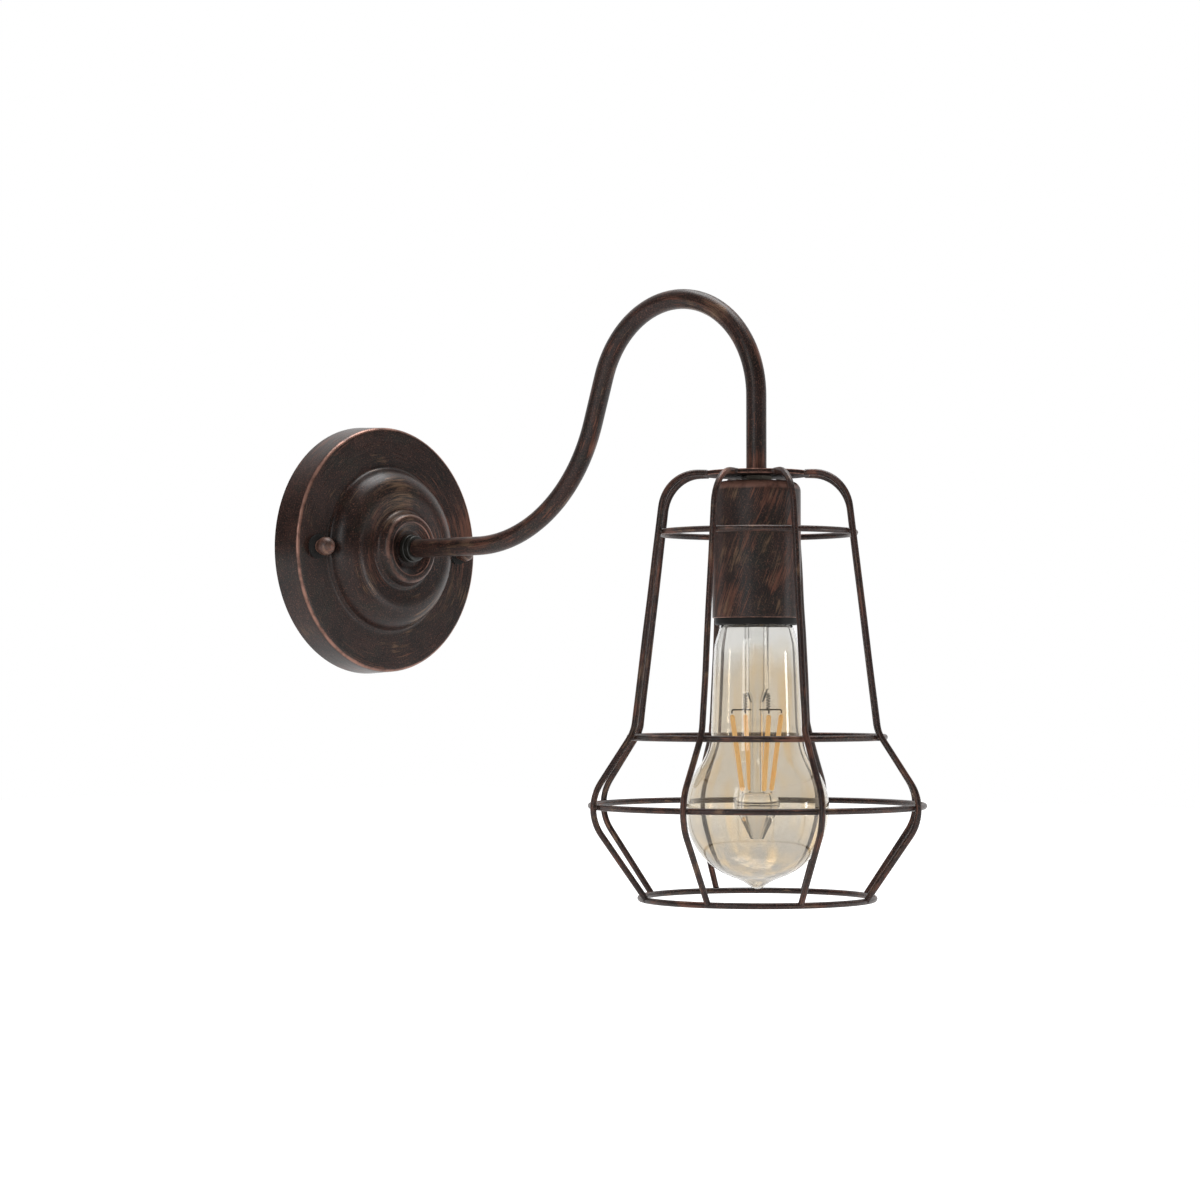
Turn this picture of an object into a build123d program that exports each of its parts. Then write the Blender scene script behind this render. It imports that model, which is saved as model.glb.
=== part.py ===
from build123d import *
import math
import os

os.makedirs("parts", exist_ok=True)

# Industrial wall lamp. The wall is the plane y = 0 and the lamp hangs out along -Y, with +Z up.
# The origin is the centre of the wall plate, where the arm leaves it. Sizes are in millimetres.

# Shared fits and small allowances
running_fit = 0.05
loose_fit = 0.3
seat_gap = 0.1
weld_bite = 0.15
cut_overrun = 1.0

# Canopy: a spun steel wall plate
canopy_back_radius = 62.5
canopy_flare = 1.0
canopy_depth = 15.9
canopy_wall = 1.0
canopy_edge_radius = 1.6
stud_dome_gap = 9.1
dome_foot_fillet = 2.5
dome_flank_lean = 2.6
dome_flank_height = 6.6
dome_shoulder_radius = 9.0
ridge_gap = 3.7
ridge_height = 11.8
ridge_fillet = 3.0
groove_width = 1.8
groove_depth = 0.6
groove_fillet = 1.1
boss_outer_radius = 17.0
boss_rise = 5.8
boss_crest_width = 3.4
boss_crest_radius = 2.2
dish_slope = 3.2
dish_depth = 2.1
dish_fillet = 3.0

# Wall strap, its slots for the wall screws and its lug for the terminal block
strap_end_gap = 7.5
strap_width = 22.0
strap_thickness = 1.5
strap_end_radius = 6.0
stud_rim_gap = 13.0
slot_spacing = 56.0
slot_length = 14.0
slot_width = 5.0
cable_hole_diameter = 10.5
lug_width = 26.0
lug_height = 17.0

# Studs, their nuts, the ball nuts and their washers
stud_diameter = 4.0
stud_reach = 8.8
stud_nut_flats = 7.0
stud_nut_height = 3.2
ball_diameter = 9.2
ball_standoff = 6.0
ball_neck_diameter = 6.6
ball_hole_extra = 0.6
nut_washer_diameter = 12.0
nut_washer_thickness = 1.6
nut_washer_play = 0.2

# Ground screw and terminal block
ground_screw_diameter = 4.0
ground_head_diameter = 7.6
ground_head_height = 2.4
ground_screw_place = 15.0
ground_recess_length = 4.6
ground_recess_width = 0.9
ground_recess_depth = 1.2
block_width = 24.0
block_height = 15.0
block_depth = 13.0
block_edge_radius = 0.8
block_below_hole = 5.0
terminal_pitch = 9.0
terminal_screw_diameter = 4.2
terminal_screw_length = 5.0
terminal_slot_width = 0.8
terminal_slot_depth = 1.0
terminal_well_depth = 6.5

# Arm: one bent tube with a turned-down thread at each end
tube_diameter = 9.2
tube_bore = 6.8
thread_diameter = 8.4
arm_lead_in = 46.01
arm_first_radius = 80.7
arm_rise_angle = 71.8
arm_straight = 23.1
arm_top_radius = 47.7
thread_past_nut = 3.0

# Arm ferrule, washer and lock nut at the canopy
ferrule_diameter = 14.0
ferrule_step_diameter = 12.6
ferrule_base_height = 2.6
ferrule_step_height = 2.7
ferrule_groove = 0.6
ferrule_chamfer = 0.5
ferrule_counterbore = 3.4
arm_washer_diameter = 15.0
arm_washer_thickness = 1.0
lock_nut_flats = 12.0
lock_nut_height = 3.0

# Cage: disc, ribs and rings of steel wire
wire_diameter = 2.8
disc_radius = 24.1
disc_thickness = 2.0
disc_level = 27.0
disc_edge_chamfer = 0.3
rib_count = 8
rib_phase = 15.4
rib_head_radius = 43.6
rib_shoulder_radius = 58.6
rib_shoulder_level = -89.1
rib_belly_radius = 82.0
rib_belly_level = -123.4
rib_foot_radius = 52.6
rib_foot_level = -164.2
rib_arch_bend = 18.0
rib_shoulder_bend = 15.0
rib_belly_bend = 20.0
top_ring_level = 0.3
shoulder_ring_level = -91.8
belly_ring_level = -122.6

# Cage lock nut and socket cup
cage_nut_height = 2.5
cup_diameter = 40.0
cup_height = 61.7
cup_wall = 0.9
cup_corner_radius = 4.5

# Lampholder in three pieces, with its contacts
thread_below_cup = 8.0
holder_collar_diameter = 17.0
holder_collar_height = 4.0
holder_cap_wall = 1.6
holder_cap_height = 17.0
holder_cap_corner = 5.0
skirt_diameter = 37.8
skirt_below_cup = 3.1
skirt_lip_radius = 0.8
skirt_mouth_diameter = 35.4
skirt_mouth_depth = 2.6
skirt_mouth_cone = 3.0
insert_diameter = 31.4
insert_height = 14.0
insert_well_diameter = 5.4
insert_well_depth = 4.5
insert_well_place = 9.6
holder_screw_diameter = 3.6
holder_screw_height = 3.2
shell_wall = 0.4
shell_length = 20.4
contact_thickness = 0.4
contact_width = 6.0
contact_reach = 8.0
contact_drop = 1.5
contact_bend = 1.2
shell_contact_width = 5.0
shell_contact_leg = 2.2
cable_diameter = 4.6
cable_bend = 9.0
cable_entry_depth = 10.0

# Bulb cap, with the screw cap's outer diameter, and its inner pieces
cap_diameter = 26.4
cap_wall = 0.35
cap_length = 19.1
cap_cone_height = 2.0
cap_mouth_diameter = 21.0
insulator_top_diameter = 10.4
insulator_height = 2.0
insulator_inset = 0.6
contact_button_diameter = 9.0
contact_button_height = 1.45
contact_button_dome = 0.7
board_width = 15.0
board_height = 8.0
board_thickness = 1.2
board_part_width = 5.0
board_part_height = 3.4
board_part_depth = 3.0

# Bulb glass: a slender neck, a round belly and a nipple tip; drops are measured from the cap's rim
glass_wall = 0.8
glass_neck_in_cap = 9.0
glass_neck_diameter = 25.0
glass_collar_diameter = 33.0
glass_collar_drop = 5.0
glass_collar_bend = 9.0
glass_shoulder_diameter = 38.4
glass_shoulder_drop = 13.5
glass_shoulder_bend = 24.0
glass_waist_diameter = 44.0
glass_waist_bend = 26.0
glass_belly_radius = 32.5
glass_belly_drop = 87.3
glass_tip_drop = 123.0
glass_tip_radius = 4.4
glass_tip_bend = 9.0

# Stem, filaments and their lead wires inside the glass
stem_flare_height = 5.0
stem_tube_diameter = 11.0
stem_tube_end_drop = 33.0
stem_pinch_drop = 39.0
stem_rod_diameter = 6.0
stem_bell_drop = 79.8
stem_bell_diameter = 20.6
stem_bell_height = 20.8
stem_bell_shoulder = 6.0
stem_bell_dome = 5.4
stem_bell_waist = 4.0
stem_bell_foot_diameter = 6.0
filament_count = 4
filament_diameter = 1.8
filament_phase = 65.0
filament_top_radius = 12.3
filament_top_drop = 44.0
filament_foot_radius = 7.2
filament_foot_drop = 79.5
lead_diameter = 0.7
lead_rise = 1.6
lead_bend = 0.8

# Places on the wall plate that follow from the sizes above
face_y = canopy_depth
canopy_front_radius = canopy_back_radius - canopy_flare
stud_place = canopy_front_radius - stud_rim_gap
stud_spacing = 2 * stud_place
strap_length = 2 * (canopy_back_radius - strap_end_gap)
dome_foot_radius = stud_place - stud_dome_gap
dome_top_radius = dome_foot_radius - dome_flank_lean
groove_radius = boss_outer_radius + groove_width
ridge_radius = groove_radius + ridge_gap
groove_height = ridge_height - groove_depth
boss_height = groove_height + boss_rise
boss_inner_radius = boss_outer_radius - boss_crest_width
dish_radius = boss_inner_radius - dish_slope
dish_height = boss_height - dish_depth
ferrule_foot = face_y + dish_height
ferrule_top = ferrule_foot + ferrule_base_height + ferrule_step_height

# Arm: where the tube starts and where it bends, and how far out the lamp then hangs
tube_start = ferrule_top - ferrule_counterbore
first_bend_start = tube_start + arm_lead_in
rise = math.radians(arm_rise_angle)
reach = (
    first_bend_start
    + arm_first_radius * math.sin(rise)
    + arm_straight * math.cos(rise)
    + arm_top_radius * (1 + math.sin(rise))
)

# Levels that follow from the sizes above
disc_top = disc_level + disc_thickness / 2
disc_bottom = disc_level - disc_thickness / 2
cup_top = disc_bottom - cage_nut_height
cup_bottom = cup_top - cup_height
cup_inner_top = cup_top - cup_wall
arm_outer_end = cup_top - thread_below_cup
wire_radius = wire_diameter / 2
skirt_bottom = cup_bottom - skirt_below_cup
skirt_top = cup_inner_top - holder_collar_height - holder_cap_height
insert_bottom = skirt_top - insert_height
strip_level = insert_bottom - contact_thickness / 2
bulb_top = strip_level - contact_drop - contact_thickness / 2 - seat_gap
button_foot = bulb_top - contact_button_height
insulator_top = button_foot - seat_gap
cap_top = insulator_top - insulator_height
cap_rim = cap_top - cap_length
glass_top = cap_rim + glass_neck_in_cap

# Sketch planes. On the wall section x runs across and y out of the wall; on the lamp section
# x runs out from the lamp's axis and y up; on the arm plane x runs out of the wall and y up.
wall_section = Plane(origin=(0, 0, 0), x_dir=(1, 0, 0), z_dir=(0, 0, -1))
lamp_section = Plane(origin=(0, -reach, 0), x_dir=(1, 0, 0), z_dir=(0, -1, 0))
arm_plane = Plane(origin=(0, 0, 0), x_dir=(0, -1, 0), z_dir=(-1, 0, 0))
lamp_axis = Axis((0, -reach, 0), (0, 0, 1))


def wall_level(distance):
    """Plane parallel to the wall at a distance from it, facing out into the room."""
    return Plane(origin=(0, -distance, 0), x_dir=(1, 0, 0), z_dir=(0, -1, 0))


def lamp_level(level):
    """Level plane square to the lamp's axis."""
    return Plane(origin=(0, -reach, level), x_dir=(1, 0, 0), z_dir=(0, 0, 1))


def finish(part, label):
    """Name a finished piece and write it to its own file."""
    part.label = label
    export_step(part, f"parts/{label}.step")


# Wall strap: a flat bar with a lug, two stud holes, two slots and a cable hole
ground_place = (ground_screw_place, 0)
lug_centre = -(strap_width + lug_height) / 2
block_top = -(cable_hole_diameter / 2 + block_below_hole)
with BuildPart() as wall_strap:
    with BuildSketch(wall_level(0)):
        RectangleRounded(strap_length, strap_width, strap_end_radius)
        with Locations((0, lug_centre + strap_width / 4)):
            Rectangle(lug_width, lug_height + strap_width / 2)
        Circle(cable_hole_diameter / 2, mode=Mode.SUBTRACT)
        with GridLocations(stud_spacing, 0, 2, 1):
            Circle(stud_diameter / 2 + running_fit, mode=Mode.SUBTRACT)
        with GridLocations(slot_spacing, 0, 2, 1):
            SlotOverall(slot_length, slot_width, mode=Mode.SUBTRACT)
        with Locations(ground_place):
            Circle(ground_screw_diameter / 2 + running_fit, mode=Mode.SUBTRACT)
    extrude(amount=strap_thickness)
finish(wall_strap.part, "wall_strap")

# Ground screw: a pan head with a cross-slot, its tail flush with the strap's back
with BuildPart() as ground_screw:
    with BuildSketch(wall_level(strap_thickness)):
        with Locations(ground_place):
            Circle(ground_head_diameter / 2)
    extrude(amount=ground_head_height)
    fillet(ground_screw.faces().sort_by(Axis.Y)[0].edges(), ground_head_height / 3)
    with BuildSketch(ground_screw.faces().sort_by(Axis.Y)[0]):
        Rectangle(ground_recess_length, ground_recess_width)
        Rectangle(ground_recess_width, ground_recess_length)
    extrude(amount=-ground_recess_depth, mode=Mode.SUBTRACT)
    with BuildSketch(wall_level(0)):
        with Locations(ground_place):
            Circle(ground_screw_diameter / 2)
    extrude(amount=strap_thickness)
finish(ground_screw.part, "ground_screw")

# Terminal block on the lug, with two screw wells
with BuildPart() as terminal_block:
    with BuildSketch(wall_level(strap_thickness)):
        with Locations((0, block_top - block_height / 2)):
            Rectangle(block_width, block_height)
    extrude(amount=block_depth)
    fillet(terminal_block.edges().filter_by(Axis.Y), block_edge_radius)
    with Locations(terminal_block.faces().sort_by(Axis.Y)[0]):
        with GridLocations(terminal_pitch, 0, 2, 1):
            Hole(terminal_screw_diameter / 2 + running_fit, depth=terminal_well_depth)
finish(terminal_block.part, "terminal_block")

# The block's two screws, sunk in their wells
terminal_screw_floor = strap_thickness + block_depth - terminal_well_depth
with BuildPart() as terminal_screws:
    with BuildSketch(wall_level(terminal_screw_floor)):
        with Locations((0, block_top - block_height / 2)):
            with GridLocations(terminal_pitch, 0, 2, 1):
                Circle(terminal_screw_diameter / 2)
    extrude(amount=terminal_screw_length)
    with BuildSketch(wall_level(terminal_screw_floor + terminal_screw_length)):
        with Locations((0, block_top - block_height / 2)):
            with GridLocations(terminal_pitch, 0, 2, 1):
                Rectangle(terminal_screw_diameter, terminal_slot_width)
    extrude(amount=-terminal_slot_depth, mode=Mode.SUBTRACT)
finish(terminal_screws.part, "terminal_screws")

# Canopy outline from the wall to the arm's hole, then its skin, revolved about the arm's start
canopy_corners = [
    (canopy_back_radius, -2 * canopy_wall),
    (canopy_front_radius, face_y),
    (dome_foot_radius, face_y),
    (dome_top_radius, face_y + dome_flank_height),
    (ridge_radius, face_y + ridge_height),
    (groove_radius, face_y + groove_height),
    (boss_outer_radius, face_y + boss_height),
    (boss_inner_radius, face_y + boss_height),
    (dish_radius, face_y + dish_height),
    (0, face_y + dish_height),
]
canopy_bends = [
    canopy_edge_radius,
    dome_foot_fillet,
    dome_shoulder_radius,
    ridge_fillet,
    groove_fillet,
    boss_crest_radius,
    boss_crest_radius,
    dish_fillet,
]
with BuildPart() as canopy:
    with BuildSketch(wall_section):
        with BuildLine():
            half = FilletPolyline(*canopy_corners, radius=canopy_bends)
            mirror(half, about=Plane.YZ)
            Line(canopy_corners[0], (-canopy_back_radius, -2 * canopy_wall))
        make_face()
        offset(amount=-canopy_wall, kind=Kind.ARC, mode=Mode.SUBTRACT)
        with Locations((0, -canopy_depth / 2)):
            Rectangle(3 * canopy_back_radius, canopy_depth, mode=Mode.SUBTRACT)
        with Locations((-canopy_back_radius, canopy_depth)):
            Rectangle(2 * canopy_back_radius, 6 * canopy_depth, mode=Mode.SUBTRACT)
    revolve(axis=Axis.Y)
    with BuildSketch(wall_level(0)):
        Circle(thread_diameter / 2 + running_fit)
        with GridLocations(stud_spacing, 0, 2, 1):
            Circle(stud_diameter / 2 + loose_fit)
    extrude(amount=canopy_depth + boss_height + cut_overrun, mode=Mode.SUBTRACT)
finish(canopy.part, "canopy")

# Arm ferrule: a stepped collar on the dish, counterbored for the tube
with BuildPart() as arm_ferrule:
    with BuildSketch(wall_level(ferrule_foot)):
        Circle(ferrule_diameter / 2)
    extrude(amount=ferrule_base_height)
    chamfer(arm_ferrule.faces().sort_by(Axis.Y)[0].edges(), ferrule_groove)
    with BuildSketch(wall_level(ferrule_foot + ferrule_base_height)):
        Circle(ferrule_step_diameter / 2 - ferrule_groove)
    extrude(amount=ferrule_groove)
    with BuildSketch(wall_level(ferrule_foot + ferrule_base_height + ferrule_groove)):
        Circle(ferrule_step_diameter / 2)
    extrude(amount=ferrule_step_height - ferrule_groove)
    chamfer(arm_ferrule.faces().sort_by(Axis.Y)[0].edges(), ferrule_chamfer)
    with BuildSketch(wall_level(ferrule_foot)):
        Circle(thread_diameter / 2 + running_fit)
    extrude(amount=ferrule_top, mode=Mode.SUBTRACT)
    with BuildSketch(wall_level(ferrule_top - ferrule_counterbore)):
        Circle(tube_diameter / 2 + running_fit)
    extrude(amount=ferrule_top, mode=Mode.SUBTRACT)
finish(arm_ferrule.part, "arm_ferrule")

# Where the arm's threaded end stops inside the canopy
dish_inside = ferrule_foot - canopy_wall
arm_inner_end = dish_inside - arm_washer_thickness - lock_nut_height - thread_past_nut


def arm_route(start, end):
    """Draw the arm's centre line on the arm plane, from a distance off the wall to a level."""
    lead_in = Line((start, 0), (first_bend_start, 0))
    first = JernArc(lead_in @ 1, (1, 0), arm_first_radius, arm_rise_angle)
    leg = PolarLine(first @ 1, arm_straight, arm_rise_angle)
    top = JernArc(leg @ 1, leg % 1, arm_top_radius, -(arm_rise_angle + 90))
    Line(top @ 1, (reach, end))


with BuildPart() as arm_tube:
    with BuildLine(arm_plane) as tube_line:
        arm_route(tube_start, disc_top)
    with BuildSketch(wall_level(tube_start)):
        Circle(tube_diameter / 2)
    sweep(path=tube_line.wires()[0])
    with BuildSketch(wall_level(arm_inner_end)):
        Circle(thread_diameter / 2)
    extrude(amount=tube_start - arm_inner_end)
    with BuildSketch(lamp_level(arm_outer_end)):
        Circle(thread_diameter / 2)
    extrude(amount=disc_top - arm_outer_end)
    with BuildLine(arm_plane) as bore_line:
        arm_route(arm_inner_end - cut_overrun, arm_outer_end - cut_overrun)
    with BuildSketch(wall_level(arm_inner_end - cut_overrun)):
        Circle(tube_bore / 2)
    sweep(path=bore_line.wires()[0], mode=Mode.SUBTRACT)
finish(arm_tube.part, "arm_tube")

# Washer and lock nut that clamp the arm inside the canopy
with BuildPart() as arm_washer:
    with BuildSketch(wall_level(dish_inside - arm_washer_thickness)):
        Circle(arm_washer_diameter / 2)
        Circle(thread_diameter / 2 + running_fit, mode=Mode.SUBTRACT)
    extrude(amount=arm_washer_thickness)
finish(arm_washer.part, "arm_washer")

with BuildPart() as arm_lock_nut:
    with BuildSketch(wall_level(dish_inside - arm_washer_thickness - lock_nut_height)):
        RegularPolygon(lock_nut_flats / 2, 6, major_radius=False)
        Circle(thread_diameter / 2 + running_fit, mode=Mode.SUBTRACT)
    extrude(amount=lock_nut_height)
finish(arm_lock_nut.part, "arm_lock_nut")

# Cage disc: a flat plate on the arm's shoulder that carries the eight ribs
with BuildPart() as cage_cap:
    with BuildSketch(lamp_level(disc_bottom)):
        Circle(disc_radius)
        Circle(thread_diameter / 2 + running_fit, mode=Mode.SUBTRACT)
    extrude(amount=disc_thickness)
    chamfer(cage_cap.edges().group_by(SortBy.LENGTH)[-1], disc_edge_chamfer)
finish(cage_cap.part, "cage_cap")

with BuildPart() as cage_lock_nut:
    with BuildSketch(lamp_level(cup_top)):
        RegularPolygon(lock_nut_flats / 2, 6, major_radius=False)
        Circle(thread_diameter / 2 + running_fit, mode=Mode.SUBTRACT)
    extrude(amount=cage_nut_height)
finish(cage_lock_nut.part, "cage_lock_nut")

# Rib line on its own radial plane: out from the disc's edge, over, down, out and in to the foot,
# where it ends on top of the bottom ring
foot_run = math.hypot(rib_belly_radius - rib_foot_radius, rib_belly_level - rib_foot_level)
foot_share = (wire_radius - weld_bite) / foot_run
rib_corners = [
    (disc_radius - weld_bite, disc_level),
    (rib_head_radius, disc_level),
    (rib_shoulder_radius, rib_shoulder_level),
    (rib_belly_radius, rib_belly_level),
    (
        rib_foot_radius + (rib_belly_radius - rib_foot_radius) * foot_share,
        rib_foot_level + (rib_belly_level - rib_foot_level) * foot_share,
    ),
]


def radial_plane(angle):
    """Upright plane through the lamp's axis, with x running out along the angle and y up."""
    out = Vector(math.cos(math.radians(angle)), math.sin(math.radians(angle)), 0)
    return Plane(origin=(0, -reach, 0), x_dir=out, z_dir=out.cross(Vector(0, 0, 1)))


for number in range(rib_count):
    section = radial_plane(rib_phase + number * 360 / rib_count)
    with BuildPart() as cage_rib:
        with BuildLine(section) as rib_line:
            FilletPolyline(*rib_corners, radius=[rib_arch_bend, rib_shoulder_bend, rib_belly_bend])
        with BuildSketch(Plane(origin=rib_line.line @ 0, z_dir=section.x_dir)):
            Circle(wire_radius)
        sweep(path=rib_line.wires()[0])
    finish(cage_rib.part, f"cage_rib_{number + 1}")


def bend_centre(before, corner, after, radius):
    """Centre of the arc that rounds a corner of the rib line."""
    back = (Vector(before) - Vector(corner)).normalized()
    on = (Vector(after) - Vector(corner)).normalized()
    half_angle = math.radians(back.get_angle(on)) / 2
    return Vector(corner) + (back + on).normalized() * (radius / math.sin(half_angle))


# Rings: each lies inside the ribs and touches them at its own level
wire_reach = wire_diameter - weld_bite
upper_angle = math.atan2(rib_shoulder_radius - rib_head_radius, disc_level - rib_shoulder_level)
top_ring_radius = (
    rib_head_radius
    + (disc_level - top_ring_level) * math.tan(upper_angle)
    - wire_reach / math.cos(upper_angle)
)
shoulder_centre = bend_centre(*rib_corners[1:4], rib_shoulder_bend)
shoulder_ring_radius = shoulder_centre.X - math.sqrt(
    (rib_shoulder_bend + wire_reach) ** 2 - (shoulder_ring_level - shoulder_centre.Y) ** 2
)
belly_centre = bend_centre(*rib_corners[2:5], rib_belly_bend)
belly_ring_radius = belly_centre.X + math.sqrt(
    (rib_belly_bend - wire_reach) ** 2 - (belly_ring_level - belly_centre.Y) ** 2
)
rings = {
    "top_ring": (top_ring_radius, top_ring_level),
    "shoulder_ring": (shoulder_ring_radius, shoulder_ring_level),
    "belly_ring": (belly_ring_radius, belly_ring_level),
    "bottom_ring": (rib_foot_radius, rib_foot_level),
}
for ring_name, (ring_radius, ring_level) in rings.items():
    with BuildPart() as cage_ring:
        with BuildSketch(lamp_section):
            with Locations((ring_radius, ring_level)):
                Circle(wire_radius)
        revolve(axis=lamp_axis)
    finish(cage_ring.part, ring_name)

# Socket cup: a deep drawn cup, open below, with a hole for the arm's thread
with BuildPart() as socket_cup:
    with BuildSketch(lamp_level(cup_bottom)):
        Circle(cup_diameter / 2)
    extrude(amount=cup_height)
    fillet(socket_cup.faces().sort_by(Axis.Z)[-1].edges(), cup_corner_radius)
    offset(amount=-cup_wall, openings=socket_cup.faces().sort_by(Axis.Z)[0])
    with BuildSketch(lamp_level(cup_top)):
        Circle(thread_diameter / 2 + running_fit)
    extrude(amount=-2 * cup_wall, mode=Mode.SUBTRACT)
finish(socket_cup.part, "socket_cup")

# Lampholder, upper piece: a moulded cap with a threaded collar under the cup's top
with BuildPart() as holder_cap:
    with BuildSketch(lamp_level(skirt_top)):
        Circle(skirt_diameter / 2)
    extrude(amount=holder_cap_height)
    fillet(holder_cap.faces().sort_by(Axis.Z)[-1].edges(), holder_cap_corner)
    offset(amount=-holder_cap_wall, openings=holder_cap.faces().sort_by(Axis.Z)[0])
    with BuildSketch(lamp_level(cup_inner_top)):
        Circle(holder_collar_diameter / 2)
    extrude(amount=-holder_collar_height - holder_cap_wall)
    with BuildSketch(lamp_level(cup_inner_top)):
        Circle(thread_diameter / 2 + running_fit)
    extrude(amount=-holder_collar_height - 2 * holder_cap_wall, mode=Mode.SUBTRACT)
finish(holder_cap.part, "holder_cap")

# Lampholder, lower piece: the skirt that shows as a dark lip under the cup
shell_radius = cap_diameter / 2 + running_fit
shell_top = insert_bottom - shell_contact_leg
shell_bottom = shell_top - shell_length
mouth_top = skirt_bottom + skirt_mouth_depth
with BuildPart() as holder_skirt:
    with BuildSketch(lamp_section):
        with BuildLine():
            Polyline(
                (skirt_diameter / 2, skirt_top),
                (skirt_diameter / 2, skirt_bottom),
                (skirt_mouth_diameter / 2, skirt_bottom),
                (skirt_mouth_diameter / 2, mouth_top),
                (shell_radius + seat_gap, mouth_top + skirt_mouth_cone),
                (shell_radius + seat_gap, shell_bottom),
                (shell_radius + shell_wall + seat_gap, shell_bottom),
                (shell_radius + shell_wall + seat_gap, insert_bottom),
                (insert_diameter / 2 + loose_fit, insert_bottom),
                (insert_diameter / 2 + loose_fit, skirt_top),
                close=True,
            )
        make_face()
    revolve(axis=lamp_axis)
    rims = holder_skirt.edges().filter_by(GeomType.CIRCLE).group_by(Axis.Z)[0]
    fillet(rims.sort_by(SortBy.RADIUS)[-1], skirt_lip_radius)
finish(holder_skirt.part, "holder_skirt")

# Lampholder, core: a porcelain insert that rests on the skirt's ledge, with two screw wells
with BuildPart() as holder_insert:
    with BuildSketch(lamp_level(insert_bottom)):
        Circle(insert_diameter / 2)
    extrude(amount=insert_height)
    with Locations(holder_insert.faces().sort_by(Axis.Z)[-1]):
        with GridLocations(2 * insert_well_place, 0, 2, 1):
            Hole(insert_well_diameter / 2, depth=insert_well_depth)
finish(holder_insert.part, "holder_insert")

with BuildPart() as holder_screws:
    with BuildSketch(lamp_level(skirt_top - insert_well_depth)):
        with GridLocations(2 * insert_well_place, 0, 2, 1):
            Circle(holder_screw_diameter / 2)
    extrude(amount=holder_screw_height)
finish(holder_screws.part, "holder_screws")

# Screw shell of the lampholder, seated on the skirt's lower ledge
with BuildPart() as screw_shell:
    with BuildSketch(lamp_level(shell_bottom)):
        Circle(shell_radius + shell_wall)
        Circle(shell_radius, mode=Mode.SUBTRACT)
    extrude(amount=shell_length)
finish(screw_shell.part, "screw_shell")

# Centre contact: a bent spring strip under the insert, just above the bulb's end contact
with BuildPart() as centre_contact:
    with BuildSketch(lamp_section):
        with BuildLine() as strip_line:
            FilletPolyline(
                (-contact_reach, strip_level),
                (-contact_reach / 2, strip_level),
                (-contact_reach / 4, strip_level - contact_drop),
                (contact_reach / 4, strip_level - contact_drop),
                (contact_reach / 2, strip_level - contact_drop / 2),
                radius=contact_bend,
            )
        trace(line_width=contact_thickness)
    extrude(amount=contact_width / 2, both=True)
finish(centre_contact.part, "centre_contact")

# Shell contact: a short strip from the insert down to the screw shell's rim
with BuildPart() as shell_contact:
    with BuildSketch(lamp_level(shell_top)):
        Circle(shell_radius + shell_wall)
        Circle(shell_radius, mode=Mode.SUBTRACT)
        with Locations((shell_radius, 0)):
            Rectangle(shell_radius, shell_contact_width, mode=Mode.INTERSECT)
    extrude(amount=shell_contact_leg)
finish(shell_contact.part, "shell_contact")

# Bulb's end contact: a low domed button
with BuildPart() as bulb_contact:
    with BuildSketch(lamp_level(button_foot)):
        Circle(contact_button_diameter / 2)
    extrude(amount=contact_button_height)
    fillet(bulb_contact.faces().sort_by(Axis.Z)[-1].edges(), contact_button_dome)
finish(bulb_contact.part, "bulb_contact")

# Bulb's insulator: a black glass cone between the button and the cap
insulator_foot = cap_top - insulator_inset
insulator_radius = cap_mouth_diameter / 2 - running_fit
with BuildPart() as bulb_insulator:
    with BuildSketch(lamp_section):
        with BuildLine():
            Polyline(
                (0, insulator_foot),
                (insulator_radius, insulator_foot),
                (insulator_radius, cap_top),
                (insulator_top_diameter / 2, insulator_top),
                (0, insulator_top),
                close=True,
            )
        make_face()
    revolve(axis=lamp_axis)
finish(bulb_insulator.part, "bulb_insulator")

# Bulb cap: a thin brass shell that holds the insulator above and the glass below
with BuildPart() as bulb_cap:
    with BuildSketch(lamp_section):
        with BuildLine():
            Polyline(
                (cap_diameter / 2, cap_rim),
                (cap_diameter / 2, cap_top - cap_cone_height),
                (cap_mouth_diameter / 2 + cap_wall, cap_top),
                (cap_mouth_diameter / 2, cap_top),
                (cap_mouth_diameter / 2, cap_top - cap_wall),
                (cap_diameter / 2 - cap_wall, cap_top - cap_cone_height - cap_wall),
                (cap_diameter / 2 - cap_wall, cap_rim),
                close=True,
            )
        make_face()
    revolve(axis=lamp_axis)
finish(bulb_cap.part, "bulb_cap")

# Driver board on edge in the cap, with one taller part on each side
board_top = insulator_foot - seat_gap
with BuildPart() as bulb_driver:
    with BuildSketch(lamp_level(board_top)):
        Rectangle(board_width, board_thickness)
    extrude(amount=-board_height)
    with BuildSketch(lamp_level(board_top - board_height / 2)):
        Rectangle(board_part_width, board_thickness + 2 * board_part_depth)
    extrude(amount=board_part_height / 2, both=True)
finish(bulb_driver.part, "bulb_driver")

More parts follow.
